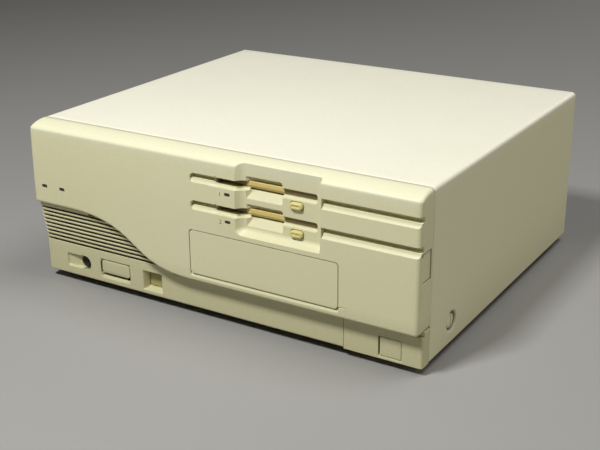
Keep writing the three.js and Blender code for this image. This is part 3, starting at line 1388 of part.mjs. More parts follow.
// Steel frame behind the bezel, with windows for the drives, file bay, vent, sockets and switches
function addFrontFrame() {
  const y1 = FRAME_Y + SHEET;
  const plate = block(-FLANGE_X, FLANGE_X, FRAME_Y, y1, FLOOR_Z + FIT, PANEL_TOP_Z);
  const window = (x0, x1, z0, z1) => block(x0, x1, FRAME_Y - OVERRUN, y1 + OVERRUN, z0, z1);
  const halfDrive = DRIVE_WIDTH / 2 + CAGE_SHEET + FIT * 2;
  const driveTop = UPPER_DRIVE_Z + DRIVE_HEIGHT + FIT * 2;
  const latchMiddle = LATCH_LOW + LATCH_HEIGHT / 2;
  const latchDeep = FLANGE_X - LATCH_SETBACK - LATCH_THICKNESS - LATCH_TRAVEL;
  const latchHalf = LATCH_TAIL_HEIGHT / 2 + FIT;
  const windowX0 = LEFT + FRAME_WINDOW_INSET;
  const windowX1 = SWEEP_START_X + FRAME_WINDOW_LENGTH;
  addPart(
    "front_frame",
    "steel",
    cut(
      plate,
      window(DRIVE_X - halfDrive, DRIVE_X + halfDrive, LOWER_DRIVE_Z - CAGE_SHEET - FIT * 2, driveTop),
      window(BAY_X0, BAY_X1, BAY_Z0, BAY_Z1),
      window(windowX0, RESET_X1 + SWITCH_WIDTH, SILL_Z, LIP_HEIGHT),
      window(windowX0, windowX1, LIP_HEIGHT + FRAME_WINDOW_MARGIN, SWEEP_HEIGHT - FRAME_WINDOW_MARGIN),
      window(FLAP_X0 - OVERRUN, FLAP_X1 + OVERRUN, SILL_Z, FLAP_Z1 + OVERRUN),
      window(-FLANGE_X - OVERRUN, -latchDeep, latchMiddle - latchHalf, latchMiddle + latchHalf),
      window(latchDeep, FLANGE_X + OVERRUN, latchMiddle - latchHalf, latchMiddle + latchHalf),
    ),
  );
}

// Round grille of level slots with one upright bar, for the fan
function fanSlots() {
  const pitch = GRILLE_BAR + GRILLE_GAP;
  const count = Math.floor((FAN_BORE * 2) / pitch);
  const slots = centred(count, pitch).map((offset) =>
    block(
      FAN_X - FAN_BORE,
      FAN_X + FAN_BORE,
      REAR_INNER_Y - OVERRUN,
      REAR_Y + OVERRUN,
      FAN_HEIGHT + offset - GRILLE_GAP / 2,
      FAN_HEIGHT + offset + GRILLE_GAP / 2,
    ),
  );
  const disc = roundBar("y", FAN_BORE, REAR_INNER_Y - OVERRUN, REAR_Y + OVERRUN, [FAN_X, FAN_HEIGHT]);
  const bar = block(
    FAN_X - GRILLE_BAR / 2,
    FAN_X + GRILLE_BAR / 2,
    REAR_INNER_Y - OVERRUN * 2,
    REAR_Y + OVERRUN * 2,
    FAN_HEIGHT - FAN_BORE,
    FAN_HEIGHT + FAN_BORE,
  );
  return cut(join(...slots).intersect(disc), bar);
}

// Ports along the back of the main board, left to right, each with its width
const PORTS = [
  { name: "printer_port", width: PRINTER_WIDTH },
  { name: "serial_port", width: SERIAL_WIDTH },
  { name: "display_port", width: DISPLAY_WIDTH },
];

// Left edge of a port: the ports stand side by side with equal gaps
function portX(index) {
  const before = PORTS.slice(0, index).reduce((sum, port) => sum + port.width + PORT_GAP, 0);
  return BOARD_X0 + PORT_GAP + before;
}

const PORT_Z0 = BOARD_TOP_Z + FIT;
const PORT_Z1 = PORT_Z0 + PORT_HEIGHT;
const MOUSE_X = portX(PORTS.length) + MOUSE_RADIUS;
const MOUSE_Z = PORT_Z0 + MOUSE_RADIUS;

// Outline of a D-shaped port: its lower edge is shorter than its upper one
function portOutline(x0, x1, inset) {
  const slant = PORT_RADIUS;
  return outline(
    [x0 + inset, PORT_Z1 - inset],
    [x0 + slant + inset, PORT_Z0 + inset],
    [x1 - slant - inset, PORT_Z0 + inset],
    [x1 - inset, PORT_Z1 - inset],
  );
}

function addRearPanel() {
  const plate = alongY(coverOutline(SHEET + FIT, FLOOR_Z + FIT), REAR_INNER_Y, REAR_Y);
  const y0 = REAR_INNER_Y - OVERRUN;
  const y1 = REAR_Y + OVERRUN;
  const sockets = [-1, 1].map((side) => {
    const x = FAN_X + (side * INLET_SPACING) / 2;
    const halfWidth = INLET_WIDTH / 2 + FIT;
    const halfHeight = INLET_HEIGHT / 2 + FIT;
    return block(x - halfWidth, x + halfWidth, y0, y1, INLET_Z - halfHeight, INLET_Z + halfHeight);
  });
  const ports = PORTS.map((port, i) => alongY(portOutline(portX(i), portX(i) + port.width, -FIT), y0, y1));
  const mouse = roundBar("y", MOUSE_RADIUS + FIT, y0, y1, [MOUSE_X, MOUSE_Z]);
  const slots = block(
    EXPANSION_X0 + SLOT_PLATE_LIP,
    EXPANSION_X1 - SLOT_PLATE_LIP,
    y0,
    y1,
    EXPANSION_LOW + CAGE_SHEET,
    EXPANSION_HIGH - CAGE_SHEET,
  );
  addPart("rear_panel", "steel", cut(plate, fanSlots(), ...sockets, ...ports, mouse, slots));
}

// Data port: a wide body on the board behind the panel and a D-shaped nose through it
function addPort(port, index) {
  const x0 = portX(index);
  const x1 = x0 + port.width;
  const noseY = REAR_Y + PORT_PROUD;
  const bodyY1 = REAR_INNER_Y - FIT;
  const body = block(x0 - PORT_FLANGE, x1 + PORT_FLANGE, bodyY1 - PORT_DEPTH, bodyY1, PORT_Z0, PORT_Z1);
  const nose = alongY(portOutline(x0, x1, 0), bodyY1 - FIT, noseY);
  const recess = alongY(portOutline(x0, x1, PORT_FLANGE_DEPTH), noseY - PIN_HOLE_DEPTH, noseY + OVERRUN);
  addPart(port.name, "steel", cut(join(body, nose), recess));
}

function addMousePort() {
  const bodyY1 = REAR_INNER_Y - FIT;
  const noseY = REAR_Y + PORT_FLANGE_DEPTH;
  const body = block(
    MOUSE_X - MOUSE_RADIUS,
    MOUSE_X + MOUSE_RADIUS,
    bodyY1 - PORT_DEPTH,
    bodyY1,
    PORT_Z0,
    PORT_Z0 + MOUSE_RADIUS * 2,
  );
  const nose = roundBar("y", MOUSE_RADIUS, bodyY1 - FIT, noseY, [MOUSE_X, MOUSE_Z]);
  const recess = roundBar("y", MOUSE_RADIUS - PORT_FLANGE_DEPTH, noseY - PIN_HOLE_DEPTH, noseY + OVERRUN, [
    MOUSE_X,
    MOUSE_Z,
  ]);
  addPart("mouse_port", "dark", cut(join(body, nose), recess));
}

// Mains inlet: a flanged cup with three blades; the outlet beside it has slots in a solid face instead
function socketBody(x, cavity) {
  const halfWidth = INLET_WIDTH / 2;
  const halfHeight = INLET_HEIGHT / 2;
  const faceY = REAR_Y + FIT + INLET_FLANGE_DEPTH;
  const body = block(
    x - halfWidth,
    x + halfWidth,
    faceY - INLET_DEPTH,
    faceY,
    INLET_Z - halfHeight,
    INLET_Z + halfHeight,
  );
  const flange = block(
    x - halfWidth - INLET_FLANGE,
    x + halfWidth + INLET_FLANGE,
    REAR_Y + FIT,
    faceY,
    INLET_Z - halfHeight - INLET_FLANGE,
    INLET_Z + halfHeight + INLET_FLANGE,
  );
  return cut(join(body, flange), cavity);
}

function socketBlades(x, y0, y1) {
  return [-1, 0, 1].map((place) => {
    const bladeX = x + place * BLADE_SPACING;
    const bladeZ = INLET_Z + (place === 0 ? BLADE_RISE : -BLADE_RISE) / 2;
    return block(
      bladeX - BLADE_WIDTH / 2,
      bladeX + BLADE_WIDTH / 2,
      y0,
      y1,
      bladeZ - BLADE_HEIGHT / 2,
      bladeZ + BLADE_HEIGHT / 2,
    );
  });
}

function addMainsSockets() {
  const faceY = REAR_Y + FIT + INLET_FLANGE_DEPTH;
  const inletX = FAN_X - INLET_SPACING / 2;
  const outletX = FAN_X + INLET_SPACING / 2;
  const bottomY = faceY - INLET_CUP;
  const cup = alongY(
    roundedOutline(
      inletX - INLET_WIDTH / 2 + INLET_WALL,
      inletX + INLET_WIDTH / 2 - INLET_WALL,
      INLET_Z - INLET_HEIGHT / 2 + INLET_WALL,
      INLET_Z + INLET_HEIGHT / 2 - INLET_WALL,
      INLET_RADIUS,
    ),
    bottomY,
    faceY + OVERRUN,
  );
  const blades = socketBlades(inletX, bottomY - FIT, bottomY + BLADE_LENGTH);
  addPart("mains_inlet", "dark", join(socketBody(inletX, cup), ...blades));
  const slots = join(...socketBlades(outletX, faceY - BLADE_LENGTH, faceY + OVERRUN));
  addPart("mains_outlet", "dark", socketBody(outletX, slots));
}

// Blank plates over the expansion slots, each with a bent lip to pull it by
function addSlotCovers() {
  for (let i = 0; i < EXPANSION_COUNT; i += 1) {
    const z0 = EXPANSION_LOW + i * EXPANSION_PITCH + SEAM / 2;
    const z1 = z0 + EXPANSION_PITCH - SEAM;
    const y0 = REAR_Y + FIT;
    const section = outline(
      [y0, z0],
      [y0 + SHEET, z0],
      [y0 + SHEET, z1 - SHEET],
      [y0 + SHEET + SLOT_PLATE_LIP, z1 - SHEET],
      [y0 + SHEET + SLOT_PLATE_LIP, z1],
      [y0, z1],
    );
    addPart(`slot_cover_${i + 1}`, "steel", alongX(section, EXPANSION_X0, EXPANSION_X1));
  }
}

// Card cage: an open box of sheet with guide rails, one side reaching down to the tray
function addExpansionCage() {
  const shell = block(EXPANSION_X0, EXPANSION_X1, EXPANSION_Y0, EXPANSION_Y1, EXPANSION_LOW, EXPANSION_HIGH);
  const inside = block(
    EXPANSION_X0 + CAGE_SHEET,
    EXPANSION_X1 - CAGE_SHEET,
    EXPANSION_Y0 - OVERRUN,
    EXPANSION_Y1 + OVERRUN,
    EXPANSION_LOW + CAGE_SHEET,
    EXPANSION_HIGH - CAGE_SHEET,
  );
  const leg = block(
    EXPANSION_X1 - CAGE_SHEET,
    EXPANSION_X1,
    EXPANSION_Y0,
    EXPANSION_Y1,
    FLOOR_Z + FIT,
    EXPANSION_LOW + CAGE_SHEET,
  );
  const railY = EXPANSION_Y0 + EDGE_CONNECTOR_DEPTH * 2;
  const rails = Array.from({ length: EXPANSION_COUNT }, (_, i) => {
    const z = EXPANSION_LOW + (i + 1 / 2) * EXPANSION_PITCH;
    return [
      block(EXPANSION_X0, EXPANSION_X0 + GUIDE_DEPTH, railY, EXPANSION_Y1, z, z + CAGE_SHEET),
      block(EXPANSION_X1 - GUIDE_DEPTH, EXPANSION_X1, railY, EXPANSION_Y1, z, z + CAGE_SHEET),
    ];
  }).flat();
  addPart("expansion_cage", "steel", join(cut(shell, inside), leg, ...rails));
}

// Upright board at the inner end of the cage with one edge connector for each slot
function addBackplane() {
  const x0 = EXPANSION_X0 + CAGE_SHEET + FIT;
  const x1 = EXPANSION_X1 - CAGE_SHEET - FIT;
  const y0 = EXPANSION_Y0 + FIT;
  const z0 = EXPANSION_LOW + CAGE_SHEET + FIT;
  const z1 = EXPANSION_HIGH - CAGE_SHEET - FIT;
  const sheet = block(x0, x1, y0, y0 + BACKPLANE_THICKNESS, z0, z1);
  const connectors = Array.from({ length: EXPANSION_COUNT }, (_, i) => {
    const z = EXPANSION_LOW + (i + 1 / 2) * EXPANSION_PITCH;
    const half = EDGE_CONNECTOR_HEIGHT / 2;
    const connectorX0 = x0 + EDGE_CONNECTOR_INSET;
    const connectorX1 = x1 - EDGE_CONNECTOR_INSET;
    return block(connectorX0, connectorX1, y0, y0 + EDGE_CONNECTOR_DEPTH, z - half, z + half);
  });
  addPart("expansion_backplane", "board", join(sheet, ...connectors));
}

// Sheet cage of the file bay, open at both ends, on two side legs that stand on the tray
function addFileBayCage() {
  const y1 = CAGE_Y0 + CAGE_LENGTH;
  const shell = block(CAGE_X0, CAGE_X1, CAGE_Y0, y1, CAGE_Z0, CAGE_Z1);
  const inside = block(
    CAGE_X0 + CAGE_SHEET,
    CAGE_X1 - CAGE_SHEET,
    CAGE_Y0 - OVERRUN,
    y1 + OVERRUN,
    CAGE_Z0 + CAGE_SHEET,
    CAGE_Z1 - CAGE_SHEET,
  );
  const legs = [CAGE_X0, CAGE_X1 - CAGE_SHEET].map((x) =>
    block(x, x + CAGE_SHEET, CAGE_Y0, CAGE_Y0 + CAGE_LEG_LENGTH, FLOOR_Z + FIT, CAGE_Z0 + CAGE_SHEET),
  );
  addPart("file_bay_cage", "steel", join(cut(shell, inside), ...legs));
}

// Channel on top of the file bay cage that both disk drives are screwed into
function addDriveBracket() {
  const half = DRIVE_WIDTH / 2 + FIT + CAGE_SHEET;
  const y1 = DRIVE_Y + DRIVE_DEPTH;
  const top = UPPER_DRIVE_Z + DRIVE_HEIGHT;
  const outer = block(DRIVE_X - half, DRIVE_X + half, CAGE_Y0, y1, BRACKET_Z0, top);
  const inner = block(
    DRIVE_X - half + CAGE_SHEET,
    DRIVE_X + half - CAGE_SHEET,
    CAGE_Y0 - OVERRUN,
    y1 + OVERRUN,
    BRACKET_Z0 + CAGE_SHEET,
    top + OVERRUN,
  );
  addPart("drive_bracket", "steel", cut(outer, inner));
}

// Case of the power supply: a steel box open towards the fan
function addPowerSupply() {
  const z0 = FLOOR_Z + FIT;
  const z1 = SUPPLY_Z1;
  const outer = block(SUPPLY_X0, SUPPLY_X1, SUPPLY_Y0, SUPPLY_Y1, z0, z1);
  const inner = block(
    SUPPLY_X0 + SHEET,
    SUPPLY_X1 - SHEET,
    SUPPLY_Y0 + SHEET,
    SUPPLY_Y1 + OVERRUN,
    z0 + SHEET,
    z1 - SHEET,
  );
  const pitch = GRILLE_BAR + GRILLE_GAP;
  const count = Math.floor((FAN_BORE * 2) / pitch);
  const vents = centred(count, pitch).map((offset) =>
    block(
      FAN_X - FAN_BORE,
      FAN_X + FAN_BORE,
      SUPPLY_Y0 - OVERRUN,
      SUPPLY_Y0 + SHEET + OVERRUN,
      FAN_HEIGHT + offset - GRILLE_GAP / 2,
      FAN_HEIGHT + offset + GRILLE_GAP / 2,
    ),
  );
  addPart("power_supply_case", "steel", cut(outer, inner, ...vents));
}

// Square fan housing: a round duct with four struts that carry the motor plate and its pin
function addFanFrame() {
  const half = FAN_SIZE / 2;
  const centre = [FAN_X, FAN_HEIGHT];
  const body = block(FAN_X - half, FAN_X + half, FAN_Y0, FAN_Y1, FAN_HEIGHT - half, FAN_HEIGHT + half);
  const duct = roundBar("y", FAN_BORE, FAN_Y0 - OVERRUN, FAN_Y1 + OVERRUN, centre);
  const plateY = FAN_Y1 - FAN_PLATE;
  const plate = roundBar("y", FAN_HUB, plateY, FAN_Y1, centre);
  const strutHalf = FAN_STRUT / 2;
  const struts = [
    block(FAN_X - half, FAN_X + half, plateY, FAN_Y1, FAN_HEIGHT - strutHalf, FAN_HEIGHT + strutHalf),
    block(FAN_X - strutHalf, FAN_X + strutHalf, plateY, FAN_Y1, FAN_HEIGHT - half, FAN_HEIGHT + half),
  ];
  const pin = roundBar("y", FAN_SHAFT / 2, plateY - FAN_HUB_DEPTH / 2, plateY + FIT, centre);
  addPart("fan_frame", "dark", join(cut(body, duct), plate, ...struts, pin));
}

// A blade section: a thin bar across the blade, turned to its pitch
function bladeSection(chord, pitch) {
  const halfChord = chord / 2;
  const halfThick = FAN_BLADE_THICKNESS / 2;
  const corners = [
    [-halfChord, -halfThick],
    [halfChord, -halfThick],
    [halfChord, halfThick],
    [-halfChord, halfThick],
  ];
  return corners.map(([x, y]) => new THREE.Vector2(x, y).rotateAround(new THREE.Vector2(), pitch));
}

// Hub with twisted blades, turning on the frame's pin
function addFanRotor() {
  const hubY1 = FAN_Y1 - FAN_PLATE - FIT;
  const hubY0 = hubY1 - FAN_HUB_DEPTH;
  const centre = [FAN_X, FAN_HEIGHT];
  const hub = roundBar("y", FAN_HUB, hubY0, hubY1, centre);
  const middle = new THREE.Matrix4().makeTranslation(FAN_X, (hubY0 + hubY1) / 2, FAN_HEIGHT);
  const rootPitch = Math.PI * FAN_BLADE_PITCH_SHARE;
  const tipPitch = rootPitch / 2;
  const chord = FAN_HUB_DEPTH;
  const blades = Array.from({ length: FAN_BLADES }, (_, i) => {
    const turn = new THREE.Matrix4().makeRotationY((i * Math.PI * 2) / FAN_BLADES);
    return loft(
      [
        { at: FAN_HUB - FAN_BLADE_TIP, points: bladeSection(chord * FAN_ROOT_SHARE, rootPitch) },
        { at: FAN_BORE - FAN_BLADE_TIP, points: bladeSection(chord, tipPitch) },
      ],
      new THREE.Matrix4().multiplyMatrices(middle, turn),
    );
  });
  const bore = roundBar("y", FAN_SHAFT / 2 + FIT, hubY1 - FAN_HUB_DEPTH / 2 - FIT, hubY1 + OVERRUN, centre);
  addPart("fan_rotor", "dark", cut(join(hub, ...blades), bore));
}

// Main board with its rows of chips and the finned processor cooler
function addMainboard() {
  const board = block(BOARD_X0, BOARD_X1, BOARD_Y0, BOARD_Y1, BOARD_Z, BOARD_TOP_Z);
  const x0 = BOARD_X0 + STANDOFF_INSET * 2;
  const y0 = BOARD_Y0 + STANDOFF_INSET * 2;
  const top = BOARD_TOP_Z - FIT;
  const chips = [];
  for (let row = 0; row < CHIP_ROWS; row += 1) {
    for (let column = 0; column < CHIP_COLUMNS; column += 1) {
      const x = x0 + column * CHIP_PITCH;
      const y = y0 + row * CHIP_PITCH;
      chips.push(block(x, x + CHIP_SIZE, y, y + CHIP_SIZE, top, top + CHIP_HEIGHT));
    }
  }
  const sinkX = x0 + (CHIP_COLUMNS - 1) * CHIP_PITCH;
  const sinkY = y0;
  const finPitch = (CHIP_SIZE - SINK_FIN) / (SINK_FINS - 1);
  const fins = Array.from({ length: SINK_FINS }, (_, i) => {
    const x = sinkX + i * finPitch;
    return block(x, x + SINK_FIN, sinkY, sinkY + CHIP_SIZE, top, top + CHIP_HEIGHT + SINK_HEIGHT);
  });
  addPart("mainboard", "board", join(board, ...chips, ...fins));
}

// Small round speaker behind the vent window of the front frame
function addSpeaker() {
  const y0 = FRAME_BACK_Y;
  const profile = [
    [0, SPEAKER_RIM * 2],
    [SPEAKER_MAGNET / 2, SPEAKER_RIM * 2],
    [SPEAKER_RADIUS - SPEAKER_RIM, SPEAKER_RIM / 2],
    [SPEAKER_RADIUS - SPEAKER_RIM, 0],
    [SPEAKER_RADIUS, 0],
    [SPEAKER_RADIUS, SPEAKER_RIM],
    [SPEAKER_MAGNET, SPEAKER_DEPTH / 2],
    [SPEAKER_MAGNET, SPEAKER_DEPTH],
    [0, SPEAKER_DEPTH],
  ];
  const geometry = new THREE.LatheGeometry(
    profile.map(([radius, y]) => new THREE.Vector2(radius, y)),
    ROUND_SIDES,
  );
  geometry.translate(LEFT + SPEAKER_FROM_LEFT, y0, SPEAKER_HEIGHT);
  addPart("speaker", "dark", solid(geometry));
}

function addFeet() {
  const x = RIGHT - FOOT_INSET;
  const places = {
    foot_front_left: [-x, FRAME_Y + FOOT_FROM_FRAME],
    foot_front_right: [x, FRAME_Y + FOOT_FROM_FRAME],
    foot_rear_left: [-x, BACK - FOOT_INSET],
    foot_rear_right: [x, BACK - FOOT_INSET],
  };
  for (const [name, centre] of Object.entries(places)) {
    addPart(name, "rubber", roundBar("z", FOOT_RADIUS, 0, FOOT_HEIGHT, centre));
  }
}

// Cast frame of a disk drive with its ledges, guide rod, spindle pin, screw boss, ribs and motor
function driveFrame() {
  const half = DRIVE_WIDTH / 2;
  const inner = half - DRIVE_WALL;
  const slotHalf = SLOT_WIDTH / 2;
  const outer = block(-half, half, 0, DRIVE_DEPTH, 0, DRIVE_HEIGHT);
  const roofZ = DRIVE_HEIGHT - DRIVE_LID;
  const hollow = block(-inner, inner, DRIVE_WALL, DRIVE_DEPTH - DRIVE_WALL, DRIVE_WALL, roofZ);
  const slot = block(-slotHalf, slotHalf, -OVERRUN, DRIVE_WALL + OVERRUN, LOCAL_SLOT_LOW, LOCAL_SLOT_HIGH);
  const eject = ejectBar(EJECT_FROM_CENTRE, EJECT_Z, -OVERRUN, DRIVE_WALL + OVERRUN, SEAM);
  const lidY0 = SPINDLE_Y + ROTOR_RADIUS;
  const lid = block(-ROD_X, ROD_X, lidY0, MOTOR_Y0, DRIVE_HEIGHT - OVERRUN, DRIVE_HEIGHT + OVERRUN);
  const ledges = [-1, 1].map((side) => {
    const [x0, x1] = [side * (slotHalf - DISK_LEDGE), side * (inner + DRIVE_WALL / 2)].sort((a, b) => a - b);
    return block(x0, x1, DRIVE_WALL / 2, DISK_LENGTH, LOCAL_SLOT_LOW - SHEET, LOCAL_SLOT_LOW);
  });
  const pin = roundBar("z", BEARING_RADIUS, DRIVE_WALL / 2, hubTop() - SHEET - FIT, [0, SPINDLE_Y]);
  const boss = block(
    -SCREW_X - LEAD_BOSS,
    -SCREW_X + LEAD_BOSS,
    LEAD_Y0 - FIT - LEAD_BOSS,
    LEAD_Y0 - FIT,
    DRIVE_WALL / 2,
    LEAD_Z + LEAD_BOSS,
  );
  const rodY0 = DRIVE_DEPTH - DRIVE_WALL / 2 - ROD_LENGTH;
  const rodY1 = DRIVE_DEPTH - DRIVE_WALL / 2;
  const rod = roundBar("y", ROD_RADIUS, rodY0, rodY1, [ROD_X, ROD_Z], ROUND_SIDES / 2);
  const rodBoss = block(
    ROD_X - LEAD_BOSS,
    ROD_X + LEAD_BOSS,
    rodY0 - LEAD_BOSS,
    rodY0 + FIT,
    DRIVE_WALL / 2,
    ROD_Z + LEAD_BOSS,
  );
  const rib = block(
    EJECT_FROM_CENTRE - SLED_RIB / 2,
    EJECT_FROM_CENTRE + SLED_RIB / 2,
    SLED_FROM_FRONT + OVERRUN,
    SLED_FROM_FRONT + SLED_LENGTH,
    DRIVE_WALL / 2,
    SLED_Z - SLED_THICKNESS / 2 - FIT,
  );
  const motor = roundBar("y", MOTOR_RADIUS, MOTOR_Y0, DRIVE_DEPTH - DRIVE_WALL / 2, [-SCREW_X, LEAD_Z]);
  return join(cut(outer, hollow, slot, eject, lid), ...ledges, pin, boss, rod, rodBoss, rib, motor);
}

function hubTop() {
  return LOCAL_SLOT_LOW - HUB_BELOW_DISK;
}

// Front plate of a drive with its slot, and the holes for the eject button, light and door pins
function driveFront() {
  const half = DRIVE_WIDTH / 2;
  const slotHalf = SLOT_WIDTH / 2;
  const y0 = -FIT - DRIVE_FRONT_DEPTH;
  const plate = block(-half, half, y0, -FIT, 0, DRIVE_HEIGHT);
  const slot = block(-slotHalf, slotHalf, y0 - OVERRUN, OVERRUN, LOCAL_SLOT_LOW, LOCAL_SLOT_HIGH);
  const eject = ejectBar(EJECT_FROM_CENTRE, EJECT_Z, y0 - OVERRUN, OVERRUN, SEAM);
  const lightX = DRIVE_LIGHT_FROM_SLOT - slotHalf;
  const lightZ = LOCAL_SLOT_LOW - DRIVE_LIGHT_BELOW_SLOT;
  const light = lightBlock(
    lightX,
    lightZ,
    DRIVE_LIGHT_WIDTH,
    DRIVE_LIGHT_HEIGHT,
    y0 - OVERRUN,
    DRIVE_FRONT_DEPTH + OVERRUN * 2,
    FIT,
  );
  const { y, z } = doorAxis();
  const reach = slotHalf + FLAP_PIN_LENGTH + FIT;
  const pinHole = roundBar("x", FLAP_PIN_RADIUS + FIT, -reach, reach, [y, z]);
  return cut(plate, slot, eject, light, pinHole);
}

function doorAxis() {
  const radius = FLAP_DOOR_THICKNESS / 2;
  return { y: -FIT - DRIVE_FRONT_DEPTH / 2, z: LOCAL_SLOT_HIGH - radius - FIT };
}

// Dust door that hangs in the slot from two pins and swings inwards
function slotDoor() {
  const { y, z } = doorAxis();
  const radius = FLAP_DOOR_THICKNESS / 2;
  const half = SLOT_WIDTH / 2 - FIT;
  const low = z + radius - FLAP_DOOR_HEIGHT;
  const plate = block(-half, half, y - radius, y + radius, low, z);
  const knuckle = roundBar("x", radius, -half, half, [y, z], ROUND_SIDES / 2);
  const reach = half + FLAP_PIN_LENGTH;
  const pin = roundBar("x", FLAP_PIN_RADIUS, -reach, reach, [y, z], ROUND_SIDES / 2);
  return join(plate, knuckle, pin);
}

// Eject button with the sled that it pushes along the drive's floor ribs
function ejectButton() {
  const y0 = RECESS_Y - EJECT_PROUD - DRIVE_Y;
  const y1 = y0 + EJECT_CAP_DEPTH;
  const cap = ejectBar(EJECT_FROM_CENTRE, EJECT_Z, y0, y1, 0);
  const stemHalf = EJECT_STEM / 2;
  const stem = block(
    EJECT_FROM_CENTRE - stemHalf,
    EJECT_FROM_CENTRE + stemHalf,
    y1 - FIT,
    SLED_FROM_FRONT + FIT,
    EJECT_Z - SLED_THICKNESS / 2,
    EJECT_Z + SLED_THICKNESS,
  );
  const sled = block(
    EJECT_FROM_CENTRE - SLED_WIDTH / 2,
    EJECT_FROM_CENTRE + SLED_WIDTH / 2,
    SLED_FROM_FRONT,
    SLED_FROM_FRONT + SLED_LENGTH,
    SLED_Z - SLED_THICKNESS / 2,
    SLED_Z + SLED_THICKNESS / 2,
  );
  return join(cap, stem, sled);
}

// Light pipe from the drive's front plate to the bezel's face
function driveLight() {
  const y0 = FRONT + DRIVE_LIGHT_SETBACK - DRIVE_Y;
  return lightBlock(
    DRIVE_LIGHT_FROM_SLOT - SLOT_WIDTH / 2,
    LOCAL_SLOT_LOW - DRIVE_LIGHT_BELOW_SLOT,
    DRIVE_LIGHT_WIDTH,
    DRIVE_LIGHT_HEIGHT,
    y0,
    -y0 - FIT,
    0,
  );
}

// Spindle: a flat motor rotor and the hub that the disk drops on, turning on the frame's pin
function spindle() {
  const z0 = DRIVE_WALL + FIT;
  const centre = [0, SPINDLE_Y];
  const rotor = roundBar("z", ROTOR_RADIUS, z0, z0 + ROTOR_HEIGHT, centre);
  const hub = roundBar("z", HUB_RADIUS, z0, hubTop(), centre);
  const bore = roundBar("z", BEARING_RADIUS + FIT, z0 - OVERRUN, hubTop() - SHEET, centre);
  return cut(join(rotor, hub), bore);
}

// Head carriage: a sled on the guide rod and screw, with a head arm under and over the disk
function headCarriage() {
  const half = CARRIAGE_WIDTH / 2;
  const y1 = CARRIAGE_Y + CARRIAGE_LENGTH;
  const z0 = DRIVE_WALL + CARRIAGE_LIFT;
  const z1 = z0 + CARRIAGE_HEIGHT;
  const body = block(-half, half, CARRIAGE_Y, y1, z0, z1);
  const armHalf = ARM_WIDTH / 2;
  const armY = CARRIAGE_Y - ARM_REACH;
  const lowArmZ = LOCAL_SLOT_LOW - ARM_CLEARANCE;
  const highArmZ = DISK_TOP + ARM_CLEARANCE;
  const postY = y1 - POST_LENGTH;
  const post = block(-armHalf, armHalf, postY, y1, z0, highArmZ + ARM_THICKNESS);
  const lowArm = block(-armHalf, armHalf, armY, y1, lowArmZ - ARM_THICKNESS, lowArmZ);
  const highArm = block(-armHalf, armHalf, armY, y1, highArmZ, highArmZ + ARM_THICKNESS);
  const nutHalf = LEAD_RADIUS + ROD_LOBE;
  const nut = block(-SCREW_X - nutHalf, 0, postY, y1, LEAD_Z - nutHalf, LEAD_Z + nutHalf);
  const lobe = block(
    0,
    ROD_X + ROD_RADIUS + ROD_LOBE,
    CARRIAGE_Y,
    CARRIAGE_Y + ROD_LOBE_LENGTH,
    z0,
    ROD_Z + ROD_RADIUS + ROD_LOBE,
  );
  const holes = [
    roundBar("y", LEAD_RADIUS + FIT, postY - OVERRUN, y1 + OVERRUN, [-SCREW_X, LEAD_Z], ROUND_SIDES / 2),
    roundBar(
      "y",
      ROD_RADIUS + FIT,
      CARRIAGE_Y - OVERRUN,
      CARRIAGE_Y + ROD_LOBE_LENGTH + OVERRUN,
      [ROD_X, ROD_Z],
      ROUND_SIDES / 2,
    ),
  ];
  return cut(join(body, post, lowArm, highArm, nut, lobe), ...holes);
}

function leadScrew() {
  return roundBar("y", LEAD_RADIUS, LEAD_Y0, LEAD_Y1, [-SCREW_X, LEAD_Z], ROUND_SIDES / 2);
}

// One complete disk drive in a group of its own, placed by its lower front edge
function addDrive(level, z) {
  const drive = new THREE.Group();
  drive.position.set(DRIVE_X, DRIVE_Y, z);
  computer.add(drive);
  addPart(`drive_frame_${level}`, "aluminium", driveFrame(), drive);
  addPart(`drive_front_${level}`, "yellowed", driveFront(), drive);
  addPart(`slot_door_${level}`, "yellowed", slotDoor(), drive);
  addPart(`eject_button_${level}`, "button", ejectButton(), drive);
  addPart(`drive_light_${level}`, "lens", driveLight(), drive);
  addPart(`spindle_${level}`, "steel", spindle(), drive);
  addPart(`head_carriage_${level}`, "aluminium", headCarriage(), drive);
  addPart(`lead_screw_${level}`, "steel", leadScrew(), drive);
}

addTopCover();
addFrontBezel();
addLowerPanel();
addLowerRightCover();
addSwitchFlap();
addModeSwitches();
addFileBayCover();
addBezelLatch("bezel_latch_left", LEFT);
addBezelLatch("bezel_latch_right", RIGHT);
addCoverScrew("cover_screw_left", LEFT);
addCoverScrew("cover_screw_right", RIGHT);
addLights();
addKeyboardSocket();
addPowerButton();
addResetButton();
addSwitches();
addChassisTray();
addFrontFrame();
addRearPanel();
addFeet();
addSpeaker();
addFileBayCage();
addDriveBracket();
addDrive("upper", UPPER_DRIVE_Z);
addDrive("lower", LOWER_DRIVE_Z);
addExpansionCage();
addBackplane();
addSlotCovers();
addPowerSupply();
addFanFrame();
addFanRotor();
addMainsSockets();
addMainboard();
PORTS.forEach(addPort);
addMousePort();

export default computer;
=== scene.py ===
# %% [markdown]
# # A desktop home computer of about 1990
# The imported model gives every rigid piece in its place, in metres: +X to the right, +Y to the back, +Z up.
# This script dresses those pieces with finishes, replaces the ones whose edges need real curves,
# and sets up the camera and a plain studio.

# %% Load the model
import bmesh
import bpy
import json
import math
import numpy as np
from mathutils import Matrix, Vector


